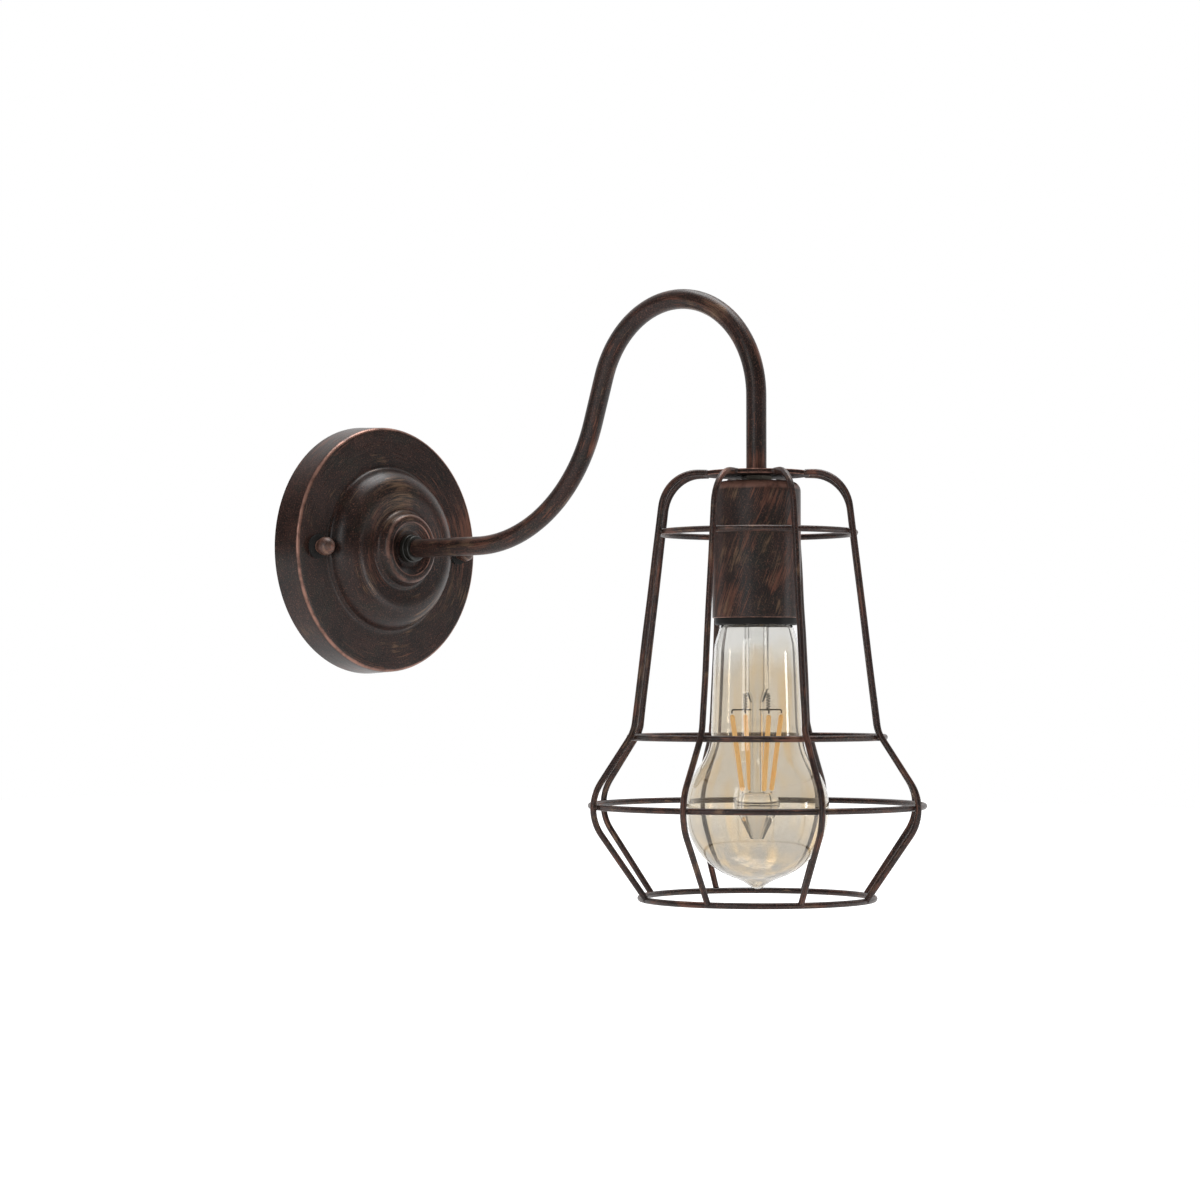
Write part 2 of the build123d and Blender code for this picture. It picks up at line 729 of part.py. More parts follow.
# Bulb glass: outline of neck, belly and tip, hollowed by its wall and open at the top
neck_radius = glass_neck_diameter / 2
belly_level = cap_rim - glass_belly_drop
tip_centre = cap_rim - glass_tip_drop + glass_tip_radius
neck_corners = [
    (neck_radius, glass_top + 2 * glass_wall),
    (neck_radius, cap_rim),
    (glass_collar_diameter / 2, cap_rim - glass_collar_drop),
    (glass_shoulder_diameter / 2, cap_rim - glass_shoulder_drop),
    (glass_waist_diameter / 2, belly_level),
]
neck_bends = [glass_collar_bend / 3, glass_collar_bend, glass_shoulder_bend]
with BuildPart() as bulb_glass:
    with BuildSketch(lamp_section) as glass_outline:
        with BuildLine():
            side = FilletPolyline(*neck_corners, radius=neck_bends)
            mirror(side, about=Plane.YZ)
            Line(neck_corners[0], (-neck_radius, glass_top + 2 * glass_wall))
            Line(neck_corners[-1], (-glass_waist_diameter / 2, belly_level))
        make_face()
        with Locations((0, belly_level)):
            Circle(glass_belly_radius)
        blends = glass_outline.vertices().filter_by_position(
            Axis.Y, belly_level + neck_radius, belly_level + glass_belly_radius
        )
        fillet(blends, glass_waist_bend)
        with Locations((0, tip_centre)):
            Circle(glass_tip_radius)
        fillet(glass_outline.vertices().group_by(Axis.Y)[0], glass_tip_bend)
        offset(amount=-glass_wall, kind=Kind.ARC, mode=Mode.SUBTRACT)
        with Locations((0, glass_top + neck_radius)):
            Rectangle(2 * glass_neck_diameter, glass_neck_diameter, mode=Mode.SUBTRACT)
        with Locations((-glass_belly_radius, belly_level)):
            Rectangle(2 * glass_belly_radius, 2 * glass_tip_drop, mode=Mode.SUBTRACT)
    revolve(axis=lamp_axis)
finish(bulb_glass.part, "bulb_glass")

# Glass stem: a flare in the neck, a tube pinched to a slimmer one, and the bell at its foot
flare_radius = neck_radius - glass_wall - seat_gap
bell_top = cap_rim - stem_bell_drop
bell_foot = bell_top - stem_bell_height
bell_radius = stem_bell_diameter / 2
with BuildPart() as bulb_stem:
    with BuildSketch(lamp_section):
        with BuildLine():
            Polyline(
                (0, glass_top),
                (flare_radius, glass_top),
                (flare_radius, glass_top - glass_wall),
                (stem_tube_diameter / 2, glass_top - stem_flare_height),
                (stem_tube_diameter / 2, cap_rim - stem_tube_end_drop),
                (stem_rod_diameter / 2, cap_rim - stem_pinch_drop),
                (stem_rod_diameter / 2, bell_foot),
                (0, bell_foot),
                close=True,
            )
        make_face()
        with BuildLine():
            bell_side = FilletPolyline(
                (0, bell_top),
                (bell_radius, bell_top),
                (bell_radius, bell_top - stem_bell_shoulder),
                (stem_bell_foot_diameter / 2, bell_foot),
                radius=[stem_bell_dome, stem_bell_waist],
            )
            Polyline(bell_side @ 1, (0, bell_foot), (0, bell_top))
        make_face()
    revolve(axis=lamp_axis)
finish(bulb_stem.part, "bulb_stem")

# Filaments: slender rods that lean in towards the bell, evenly spaced round the stem
filament_top = (filament_top_radius, cap_rim - filament_top_drop)
filament_foot = (filament_foot_radius, cap_rim - filament_foot_drop)
filament_line = Vector(filament_foot) - Vector(filament_top)
filament_planes = [
    radial_plane(filament_phase + number * 360 / filament_count) for number in range(filament_count)
]
with BuildPart() as led_filaments:
    for section in filament_planes:
        top = section.from_local_coords(Vector(filament_top))
        foot = section.from_local_coords(Vector(filament_foot))
        with BuildSketch(Plane(origin=top, z_dir=foot - top)):
            Circle(filament_diameter / 2)
        extrude(amount=filament_line.length)
finish(led_filaments.part, "led_filaments")

# Lead wires: an elbow from the stem to each filament's top, and a short leg from its foot down
# to the dome of the bell
dome_run = filament_foot_radius - (bell_radius - stem_bell_dome)
dome_drop = stem_bell_dome - math.sqrt(stem_bell_dome**2 - dome_run**2)
lead_step = filament_line.normalized() * lead_rise
elbow = Vector(filament_top) - lead_step
leg_drop = cap_rim - filament_foot_drop - bell_top + dome_drop - lead_diameter / 2
with BuildPart() as filament_leads:
    for section in filament_planes:
        with BuildLine(section) as lead_line:
            FilletPolyline(
                (stem_rod_diameter / 2 + seat_gap, elbow.Y),
                (elbow.X, elbow.Y),
                filament_top,
                radius=lead_bend,
            )
        with BuildSketch(Plane(origin=lead_line.line @ 0, z_dir=section.x_dir)):
            Circle(lead_diameter / 2)
        sweep(path=lead_line.wires()[0])
        foot = section.from_local_coords(Vector(filament_foot))
        away = foot - section.from_local_coords(Vector(filament_top))
        with BuildSketch(Plane(origin=foot, z_dir=away)):
            Circle(lead_diameter / 2)
        extrude(amount=leg_drop)
finish(filament_leads.part, "filament_leads")

# Lamp cable: up from the terminal block, round into the arm, along it and down to the lampholder
cable_entry = strap_thickness + cable_entry_depth
with BuildPart() as lamp_cable:
    with BuildLine(arm_plane) as cable_line:
        Line((cable_entry, block_top), (cable_entry, -cable_bend))
        JernArc((cable_entry, -cable_bend), (0, 1), cable_bend, -90)
        arm_route(cable_entry + cable_bend, skirt_top + seat_gap)
    with BuildSketch(Plane(origin=(0, -cable_entry, block_top), z_dir=(0, 0, 1))):
        Circle(cable_diameter / 2)
    sweep(path=cable_line.wires()[0])
finish(lamp_cable.part, "lamp_cable")

# Studs and their nuts on the strap, and the washer and ball nut that clamp the canopy on each
washer_foot = face_y + seat_gap
neck_foot = washer_foot + nut_washer_thickness + seat_gap
ball_centre = face_y + ball_standoff
for side_name, side in (("left", -1), ("right", 1)):
    place = (side * stud_place, 0)
    with BuildPart() as stud:
        with BuildSketch(wall_level(0)):
            with Locations(place):
                Circle(stud_diameter / 2)
        extrude(amount=face_y + stud_reach)
    finish(stud.part, f"{side_name}_stud")

    with BuildPart() as nut_washer:
        with BuildSketch(wall_level(washer_foot)):
            with Locations(place):
                Circle(nut_washer_diameter / 2)
                Circle(stud_diameter / 2 + nut_washer_play, mode=Mode.SUBTRACT)
        extrude(amount=nut_washer_thickness)
    finish(nut_washer.part, f"{side_name}_nut_washer")

    ball_section = Plane(origin=(side * stud_place, 0, 0), x_dir=(1, 0, 0), z_dir=(0, 0, -1))
    with BuildPart() as ball_nut:
        with BuildSketch(ball_section):
            with Locations((0, ball_centre)):
                Circle(ball_diameter / 2)
            with Locations((0, (neck_foot + ball_centre) / 2)):
                Rectangle(ball_neck_diameter, ball_centre - neck_foot)
            with Locations((0, neck_foot - ball_diameter / 2)):
                Rectangle(2 * ball_diameter, ball_diameter, mode=Mode.SUBTRACT)
            with Locations((-ball_diameter / 2, ball_centre)):
                Rectangle(ball_diameter, 2 * ball_diameter, mode=Mode.SUBTRACT)
        revolve(axis=Axis((side * stud_place, 0, 0), (0, -1, 0)))
        with BuildSketch(wall_level(0)):
            with Locations(place):
                Circle(stud_diameter / 2 + running_fit)
        extrude(amount=face_y + stud_reach + ball_hole_extra, mode=Mode.SUBTRACT)
    finish(ball_nut.part, f"{side_name}_ball_nut")

with BuildPart() as stud_nuts:
    with BuildSketch(wall_level(strap_thickness)):
        with GridLocations(stud_spacing, 0, 2, 1):
            RegularPolygon(stud_nut_flats / 2, 6, major_radius=False)
            Circle(stud_diameter / 2 + running_fit, mode=Mode.SUBTRACT)
    extrude(amount=stud_nut_height)
finish(stud_nuts.part, "stud_nuts")
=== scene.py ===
import math

import bmesh
import bpy
from mathutils import Matrix, Vector, noise


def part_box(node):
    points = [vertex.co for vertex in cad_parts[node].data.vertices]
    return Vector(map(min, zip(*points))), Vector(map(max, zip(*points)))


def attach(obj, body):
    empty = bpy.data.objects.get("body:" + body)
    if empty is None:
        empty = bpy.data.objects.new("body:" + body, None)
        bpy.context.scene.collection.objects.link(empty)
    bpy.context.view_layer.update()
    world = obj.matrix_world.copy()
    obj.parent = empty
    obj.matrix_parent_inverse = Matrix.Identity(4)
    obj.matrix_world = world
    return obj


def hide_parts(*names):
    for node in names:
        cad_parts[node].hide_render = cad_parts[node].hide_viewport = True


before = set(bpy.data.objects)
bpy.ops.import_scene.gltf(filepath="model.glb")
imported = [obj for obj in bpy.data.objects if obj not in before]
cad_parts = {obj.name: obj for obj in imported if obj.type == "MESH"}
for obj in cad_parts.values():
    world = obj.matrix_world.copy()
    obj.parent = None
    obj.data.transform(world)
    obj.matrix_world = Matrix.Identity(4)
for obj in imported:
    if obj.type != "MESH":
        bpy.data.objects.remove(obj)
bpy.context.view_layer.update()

bl_info = {
    "name": "Caged Wall Lamp",
    "version": (1, 0, 0),
    "blender": (4, 5, 0),
    "location": "3D View > Sidebar > Lamp",
    "description": "Dresses a wall lamp: plate, swan-neck arm, wire cage, lampholder and bulb",
    "category": "Add Mesh",
}

MM = 0.001
TURN = 2 * math.pi


# Places read from the frame

def low(node, axis):
    """Lowest place of a node along an axis."""
    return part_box(node)[0][axis]


def high(node, axis):
    """Highest place of a node along an axis."""
    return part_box(node)[1][axis]


def span(node, axis):
    """Extent of a node along an axis."""
    return high(node, axis) - low(node, axis)


def middle(node, axis):
    """Centre of a node along an axis."""
    return (low(node, axis) + high(node, axis)) / 2


REACH = -middle("socket_cup", 1)
BOSS_RISE = 17.0 * MM
TIGHT_BEND = 2.2 * MM
SMOOTH_ANGLE = 40
THREAD_SMOOTH_ANGLE = 60


# Sizes and colours that a user would change

def size(name, description, default):
    """A length in metres."""
    return bpy.props.FloatProperty(
        name=name, description=description, default=default, min=0.0, precision=5, unit="LENGTH"
    )


def colour(name, description, default):
    """A colour in linear light."""
    return bpy.props.FloatVectorProperty(
        name=name, description=description, default=default, min=0.0, max=1.0, size=3,
        subtype="COLOR",
    )


class LampCanopySizes(bpy.types.PropertyGroup):
    """Sizes of the spun wall plate."""
    depth: size("Depth", "How far the flat face stands off the wall", -low("canopy", 1) - BOSS_RISE)
    back: size("Back radius", "Radius of the rim at the wall", span("canopy", 0) / 2)
    front: size("Front radius", "Radius of the rim at the flat face", 61.5 * MM)
    skin: size("Sheet", "Thickness of the sheet", 1.0 * MM)
    foot: size("Dome radius", "Radius of the dome's foot", 40.9 * MM)
    lean: size("Dome lean", "How far the dome's flank leans in", 3.6 * MM)
    flank: size("Dome flank", "Height of the dome's flank", 12.0 * MM)
    groove: size("Valley radius", "Radius of the valley round the boss", 19.0 * MM)
    groove_rise: size("Valley height", "Height of the valley over the face", 10.8 * MM)
    boss: size("Boss radius", "Outer radius of the boss ring", 16.8 * MM)
    boss_inner: size("Boss inner radius", "Inner radius of the boss ring", 13.3 * MM)
    dish: size("Dish radius", "Radius of the dish inside the boss ring", 9.4 * MM)
    dish_rise: size("Dish height", "Height of the dish over the face", 14.9 * MM)


class LampArmSizes(bpy.types.PropertyGroup):
    """Sizes of the bent arm."""
    tube: size("Tube", "Outer diameter of the tube", span("arm_tube", 0))
    thread: size("Thread", "Diameter of the threaded ends", 8.4 * MM)
    bore: size("Bore", "Inner diameter of the tube", 6.8 * MM)
    first_bend: size("First bend", "Radius of the bend that lifts the arm", 80.7 * MM)
    straight: size("Straight", "Straight run between the two bends", 23.1 * MM)
    top_bend: size("Top bend", "Radius of the bend over the top", 47.7 * MM)
    rise: bpy.props.FloatProperty(
        name="Rise", description="Angle that the first bend turns through",
        default=math.radians(71.8), subtype="ANGLE",
    )


class LampCageSizes(bpy.types.PropertyGroup):
    """Sizes of the wire cage."""
    wire: size("Wire", "Diameter of the cage's wire", span("bottom_ring", 2))
    disc: size("Disc radius", "Radius of the disc that carries the ribs", span("cage_cap", 0) / 2)
    head: size("Head radius", "Radius of the ribs' upper bend", 43.6 * MM)
    shoulder: size("Shoulder radius", "Radius of the ribs' outward bend", 58.6 * MM)
    shoulder_drop: size("Shoulder drop", "Level of that bend below the wall centre", 89.1 * MM)
    belly: size("Belly radius", "Radius of the ribs' inward bend", 82.0 * MM)
    belly_drop: size("Belly drop", "Level of that bend below the wall centre", 123.4 * MM)
    weld: size("Weld", "Size of the weld beads", 1.9 * MM)
    ribs: bpy.props.IntProperty(name="Ribs", description="Number of ribs", default=8, min=3)
    phase: bpy.props.FloatProperty(
        name="Phase", description="Angle of the first rib round the lamp's axis",
        default=math.radians(15.4), subtype="ANGLE",
    )


class LampBulbSizes(bpy.types.PropertyGroup):
    """Sizes of the bulb."""
    belly: size("Belly radius", "Radius of the round belly", 32.5 * MM)
    neck: size("Neck radius", "Radius of the glass in the cap", 12.5 * MM)
    collar: size("Collar radius", "Radius of the glass just under the cap", 16.5 * MM)
    shoulder: size("Shoulder radius", "Radius where the neck grows steep", 19.2 * MM)
    waist: size("Waist radius", "Radius that the neck's line would reach at the belly", 22.0 * MM)
    tip: size("Tip radius", "Radius of the nipple", 5.0 * MM)
    wall: size("Glass wall", "Thickness of the glass", 0.8 * MM)
    cap: size("Cap", "Outer diameter of the screw cap", span("bulb_cap", 0))
    cap_pitch: size("Cap pitch", "Pitch of the screw cap's thread", 3.629 * MM)
    filament: size("Filament", "Diameter of the filaments", 2.2 * MM)
    spring: size("Spring", "Radius of the small coils beside the stem", 0.9 * MM)


class LampColours(bpy.types.PropertyGroup):
    """Colours of the lamp's finishes, in linear light."""
    paint_dark: colour("Dark paint", "Deepest tone of the paint", (0.0090, 0.0055, 0.0048))
    paint_warm: colour("Warm paint", "Brown tone of the paint", (0.036, 0.0165, 0.0130))
    paint_moss: colour("Mossy paint", "Greenish tone of the paint's patches", (0.017, 0.0155, 0.0120))
    copper: colour("Copper", "Copper tone of the brushed strokes", (0.215, 0.092, 0.062))
    gold: colour("Gold", "Pale gold tone of the finest strokes", (0.285, 0.178, 0.112))
    # Worn-edge pink: partly real wear, partly painted highlight along the lit rims and lips.
    crest: colour("Worn edge", "Pinkish tone of the worn edges", (0.36, 0.19, 0.145))
    zinc: colour("Zinc", "Plated steel", (0.46, 0.47, 0.47))
    # Painted shade: zinc darkened for the lock nut in the shadow under the disc.
    dull: colour("Dull steel", "The dull nut under the disc", (0.10, 0.090, 0.075))
    brass: colour("Brass", "Plain brass", (0.62, 0.42, 0.16))
    black: colour("Black moulding", "Phenolic moulding", (0.010, 0.0095, 0.009))
    nylon: colour("Nylon", "Terminal block", (0.66, 0.65, 0.60))
    porcelain: colour("Porcelain", "Glazed porcelain", (0.74, 0.73, 0.69))
    glass_neck: colour("Glass, neck", "Tint of the glass at the neck", (0.915, 0.91, 0.89))
    glass_amber: colour("Glass, belly", "Tint of the glass at the belly", (0.825, 0.775, 0.690))
    glass_streak: colour("Glass, streaks", "Tint of the upright streaks", (0.86, 0.72, 0.52))
    glass_foot: colour("Glass, foot", "Tint of the glass at the nipple", (0.62, 0.59, 0.54))
    stem_top: colour("Stem, top", "Tint of the stem at its top", (0.97, 0.97, 0.96))
    stem_foot: colour("Stem, foot", "Tint of the stem at its foot", (0.96, 0.955, 0.94))
    stem_streak: colour("Stem, streaks", "Tint of the stem's streaks", (0.94, 0.94, 0.92))
    ferrule: colour("Ferrule", "Greenish black of the ferrule", (0.015, 0.0145, 0.0115))
    # Also the colour of the phosphor's painted glow.
    phosphor: colour("Phosphor", "Coat on the filaments", (1.0, 0.60, 0.24))
    wire: colour("Lead wire", "Wires inside the bulb", (0.10, 0.085, 0.07))
    board: colour("Board", "Circuit board", (0.03, 0.16, 0.07))


# Points on the lamp's two axes

def around(count, phase=0.0):
    """Angles of a full turn in equal steps, from a first one."""
    return [phase + TURN * step / count for step in range(count)]


def on_wall(radius, angle, height):
    """Point round the canopy's axis, at a height in front of the wall."""
    return Vector((radius * math.cos(angle), -height, radius * math.sin(angle)))


def on_lamp(radius, angle, height):
    """Point round the lamp's axis, at a level."""
    return Vector((radius * math.cos(angle), radius * math.sin(angle) - REACH, height))


# Outlines

def rounded(corners, bends, steps=6, tight=TIGHT_BEND):
    """Points and crests of an outline that turns at each inner corner by its own bend.
    The outline runs up the outside, so a crest over zero is an outer bend, and a tight
    bend has a stronger crest than a wide one."""
    points = [Vector(corners[0])]
    crests = [0.0]
    for before, corner, after, bend in zip(corners, corners[1:], corners[2:], bends):
        corner = Vector(corner)
        back = (Vector(before) - corner).normalized()
        ahead = (Vector(after) - corner).normalized()
        half = back.angle(ahead) / 2
        centre = corner + (back + ahead).normalized() * (bend / math.sin(half))
        start = corner + back * (bend / math.tan(half)) - centre
        end = corner + ahead * (bend / math.tan(half)) - centre
        side = min(1.0, (tight / bend) ** 2)
        if ahead.x * back.y - ahead.y * back.x <= 0:
            side = -side
        for step in range(steps + 1):
            share = step / steps
            points.append(centre + start.slerp(end, share).normalized() * bend)
            crests.append(side * math.sin(math.pi * share))
    points.append(Vector(corners[-1]))
    crests.append(0.0)
    return points, crests


def divided(points, crests, step):
    """The same outline with its long runs divided into steps."""
    dense = [points[0]]
    levels = [crests[0]]
    for before, after, first, second in zip(points, points[1:], crests, crests[1:]):
        pieces = max(1, math.ceil((after - before).length / step))
        for piece in range(1, pieces + 1):
            share = piece / pieces
            dense.append(before.lerp(after, share))
            levels.append(first + (second - first) * share)
    return dense, levels


def arc(centre, radius, start, end, steps):
    """Points of an arc in the plane, between two angles."""
    return [
        Vector((
            centre[0] + radius * math.cos(start + (end - start) * step / steps),
            centre[1] + radius * math.sin(start + (end - start) * step / steps),
        ))
        for step in range(steps + 1)
    ]


def circles_meet(first, first_radius, second, second_radius):
    """The point right of the axis where two circles in the plane meet."""
    gap = second - first
    along = (first_radius ** 2 - second_radius ** 2 + gap.length_squared) / (2 * gap.length)
    across = math.sqrt(first_radius ** 2 - along ** 2)
    foot = first + gap.normalized() * along
    side = Vector((-gap.y, gap.x)).normalized() * across
    return max(foot + side, foot - side, key=lambda point: point.x)


def inset(points, amount):
    """An outline moved in by an amount, square to itself."""
    moved = []
    for index, point in enumerate(points):
        before = points[max(index - 1, 0)]
        after = points[min(index + 1, len(points) - 1)]
        along = (after - before).normalized()
        moved.append(point - Vector((along.y, -along.x)) * amount)
    return moved


# Meshes

def skin(name, rings, strokes, crests, loop=False, smooth_angle=SMOOTH_ANGLE):
    """Mesh through rings of points, with the paint's stroke direction and crest on each point."""
    count = len(rings[0])
    faces = []
    for row in range(len(rings) if loop else len(rings) - 1):
        here = row * count
        there = (row + 1) % len(rings) * count
        for column in range(count):
            after = (column + 1) % count
            faces.append((here + column, here + after, there + after, there + column))
    mesh = bpy.data.meshes.new(name)
    mesh.from_pydata([point for ring in rings for point in ring], [], faces)
    stroke = mesh.attributes.new("stroke", "FLOAT_VECTOR", "POINT")
    stroke.data.foreach_set("vector", [value for row in strokes for point in row for value in point])
    crest = mesh.attributes.new("crest", "FLOAT", "POINT")
    crest.data.foreach_set("value", [crests[row] for row in range(len(rings)) for _ in range(count)])
    return closed(mesh, smooth_angle)


def closed(mesh, smooth_angle=SMOOTH_ANGLE):
    """Join the poles, close the ends, turn the faces outwards and shade the mesh."""
    work = bmesh.new()
    work.from_mesh(mesh)
    bmesh.ops.remove_doubles(work, verts=work.verts, dist=1e-6)
    rims = [edge for edge in work.edges if edge.is_boundary]
    if rims:
        bmesh.ops.holes_fill(work, edges=rims, sides=0)
    bmesh.ops.recalc_face_normals(work, faces=work.faces)
    work.to_mesh(mesh)
    work.free()
    mesh.shade_smooth()
    mesh.set_sharp_from_angle(angle=math.radians(smooth_angle))
    return mesh


# How many times longer a stroke is than it is wide: round an axis, along a bar and down the cup
ROUND_REACH, BAR_REACH, CUP_REACH = 22.0, 20.0, 20.0
CUP_SLANT = -20.0


def concentric(radius, angle, along):
    """Stroke direction of paint brushed round the axis."""
    return (along, radius * math.cos(angle) / ROUND_REACH, radius * math.sin(angle) / ROUND_REACH)


def slanting(radius, angle, along):
    """Stroke direction of paint brushed down the axis at a slant."""
    turned = angle + CUP_SLANT * along
    return (radius * math.cos(turned), radius * math.sin(turned), along / CUP_REACH)


def lathe(name, points, crests, at, stroke=concentric, segments=144, loop=False):
    """Spin an outline of radius and height round one of the lamp's axes."""
    angles = around(segments)
    along = [0.0]
    for before, after in zip(points, points[1:]):
        along.append(along[-1] + (after - before).length)
    rings = [[at(point.x, angle, point.y) for angle in angles] for point in points]
    strokes = [
        [stroke(point.x, angle, run) for angle in angles] for point, run in zip(points, along)
    ]
    return skin(name, rings, strokes, crests, loop)


def sweep(name, path, radius, sides=20, loop=False):
    """Round bar along a path. radius is a function of the distance along it."""
    count = len(path)
    angles = around(sides)
    tangents = []
    for index, point in enumerate(path):
        before = path[index - 1] if loop or index else path[0]
        after = path[(index + 1) % count] if loop or index + 1 < count else path[-1]
        tangents.append((after - before).normalized())
    across = tangents[0].orthogonal().normalized()
    rings, strokes = [], []
    distance = 0.0
    for index, point in enumerate(path):
        if index:
            distance += (point - path[index - 1]).length
            across = (across - tangents[index] * across.dot(tangents[index])).normalized()
        other = tangents[index].cross(across)
        here = radius(distance)
        rings.append([
            point + (across * math.cos(angle) + other * math.sin(angle)) * here for angle in angles
        ])
        strokes.append([
            (here * math.cos(angle), here * math.sin(angle), distance / BAR_REACH)
            for angle in angles
        ])
    return skin(name, rings, strokes, [0.0] * count, loop)


def thread_rod(name, at, radius, core, pitch, start, end, bore, segments=48, per_turn=12):
    """Hollow threaded rod: a fine outline whose height climbs with the angle."""
    rows = max(2, math.ceil((end - start) / pitch * per_turn))
    angles = around(segments)
    rings, strokes = [], []
    for row in range(rows + 1):
        height = start + (end - start) * row / rows
        fade = min(1.0, (height - start) / pitch, (end - height) / pitch)
        ring = []
        for angle in angles:
            wave = 0.5 + 0.5 * math.cos(TURN * height / pitch - angle)
            ring.append(at(core + (radius - core) * wave * fade, angle, height))
        rings.append(ring)
        strokes.append([(radius * math.cos(a), radius * math.sin(a), height) for a in angles])
    for height in (end, start):
        rings.append([at(bore, angle, height) for angle in angles])
        strokes.append(strokes[-1])
    return skin(name, rings, strokes, [0.0] * len(rings), True, THREAD_SMOOTH_ANGLE)


LUMP_SIZE = 1.4 * MM
LUMP_DEPTH = 0.22


def bead(work, centre, along, size_along, size_across, seed):
    """Add one lumpy weld bead to a mesh in the making."""
    turn = along.to_track_quat("Z", "Y").to_matrix().to_4x4()
    shape = Matrix.Diagonal((size_across, size_across, size_along, 1.0))
    made = bmesh.ops.create_icosphere(
        work, subdivisions=3, radius=1.0, matrix=Matrix.Translation(centre) @ turn @ shape
    )
    for vertex in made["verts"]:
        offset = vertex.co - centre
        lump = noise.noise(offset / LUMP_SIZE + Vector((seed, 3 * seed, 0)))
        vertex.co = centre + offset * (1.0 + LUMP_DEPTH * lump)


# Materials

def feed(tree, node, inputs):
    """Set a node's inputs, from pairs of socket and value, or of socket and other socket."""
    for socket, value in inputs:
        target = node.inputs[socket]
        if isinstance(value, bpy.types.NodeSocket):
            tree.links.new(value, target)
        else:
            target.default_value = value


def add(tree, kind, inputs=(), **settings):
    """Add a shader node with its settings and inputs."""
    node = tree.nodes.new(kind)
    for name, value in settings.items():
        setattr(node, name, value)
    feed(tree, node, inputs)
    return node


def mixed(tree, factor, *colours):
    """Mix of two colours, each a socket or a value."""
    first, second = (
        value if isinstance(value, bpy.types.NodeSocket) else (*value[:3], 1.0) for value in colours
    )
    node = add(tree, "ShaderNodeMix", ((0, factor), (6, first), (7, second)), data_type="RGBA")
    return node.outputs[2]


def ranged(tree, value, start, end, low_value=0.0, high_value=1.0):
    """Value mapped from one range to another, and kept in it."""
    node = add(tree, "ShaderNodeMapRange", (
        ("Value", value), ("From Min", start), ("From Max", end),
        ("To Min", low_value), ("To Max", high_value),
    ))
    return node.outputs["Result"]


def maths(tree, operation, first, second=0.0):
    """Result of a maths node on sockets or values."""
    return add(tree, "ShaderNodeMath", ((0, first), (1, second)), operation=operation).outputs[0]


def times(tree, first, second):
    """Product of two sockets or values."""
    return maths(tree, "MULTIPLY", first, second)


def weighted(tree, *parts):
    """Sum of values, from pairs of a socket and its weight."""
    shares = [times(tree, value, weight) for value, weight in parts]
    total = shares[0]
    for share in shares[1:]:
        total = maths(tree, "ADD", total, share)
    return total


def noise_value(tree, vector, scale, detail=2.0, rough=0.5, distortion=0.0):
    """Factor of a noise texture."""
    node = add(tree, "ShaderNodeTexNoise", (
        ("Vector", vector), ("Scale", scale), ("Detail", detail), ("Roughness", rough),
        ("Distortion", distortion),
    ))
    return node.outputs[0]


def new_group(name, inputs, outputs):
    """Empty node group with named sockets. An input with no default is a vector."""
    group = bpy.data.node_groups.new(name, "ShaderNodeTree")
    for label, default in inputs.items():
        kind = "NodeSocketVector" if default is None else "NodeSocketFloat"
        socket = group.interface.new_socket(label, in_out="INPUT", socket_type=kind)
        if default is not None:
            socket.default_value = default
    for label in outputs:
        group.interface.new_socket(label, in_out="OUTPUT", socket_type="NodeSocketFloat")
    entry = group.nodes.new("NodeGroupInput")
    leave = group.nodes.new("NodeGroupOutput")
    return group, entry.outputs, leave.inputs


# Dry brush: weights of its lines, bands and patches, and how coarse the bands are
LINE_WEIGHT, BAND_WEIGHT, PATCH_WEIGHT = 0.6, 0.4, 0.7
BAND_FINENESS = 0.3
# Dry brush: level that bare paint stays under, what coverage takes off it, and a stroke's soft edge
BARE_LEVEL, COVERAGE_WEIGHT, STROKE_EDGE = 1.12, 0.5, 0.13


def dry_brush_group():
    """Strokes of a nearly dry brush: long fine lines that come and go in patches."""
    group, entry, leave = new_group("Dry Brush", {
        "Stroke": None, "Place": None, "Fineness": 900.0, "Patch Scale": 38.0, "Coverage": 0.4,
        "Seed": 0.0,
    }, ("Mask", "Relief"))
    moved = add(group, "ShaderNodeVectorMath", ((0, entry["Stroke"]), (1, entry["Seed"])))
    lines = noise_value(group, moved.outputs[0], entry["Fineness"], 3.0, 0.62)
    broad = times(group, entry["Fineness"], BAND_FINENESS)
    bands = noise_value(group, moved.outputs[0], broad, 2.0, 0.5)
    shifted = add(group, "ShaderNodeVectorMath", ((0, entry["Place"]), (1, entry["Seed"])))
    patches = noise_value(group, shifted.outputs[0], entry["Patch Scale"], 2.0, 0.5, 0.4)
    spread = weighted(group, (lines, LINE_WEIGHT), (bands, BAND_WEIGHT), (patches, PATCH_WEIGHT))
    start = maths(group, "SUBTRACT", BARE_LEVEL, times(group, entry["Coverage"], COVERAGE_WEIGHT))
    above = maths(group, "SUBTRACT", spread, start)
    group.links.new(ranged(group, above, 0.0, STROKE_EDGE), leave["Mask"])
    group.links.new(lines, leave["Relief"])
    return group


def speckle_group():
    """Fine grain of sprayed paint."""
    group, entry, leave = new_group("Paint Speckle", {"Place": None, "Grain": 1500.0},
                                    ("Mask", "Shade", "Height"))
    grain = noise_value(group, entry["Place"], entry["Grain"], 2.0, 0.7)
    group.links.new(ranged(group, grain, 0.54, 0.72), leave["Mask"])
    group.links.new(ranged(group, grain, 0.3, 0.7, 0.45, 1.55), leave["Shade"])
    group.links.new(grain, leave["Height"])
    return group


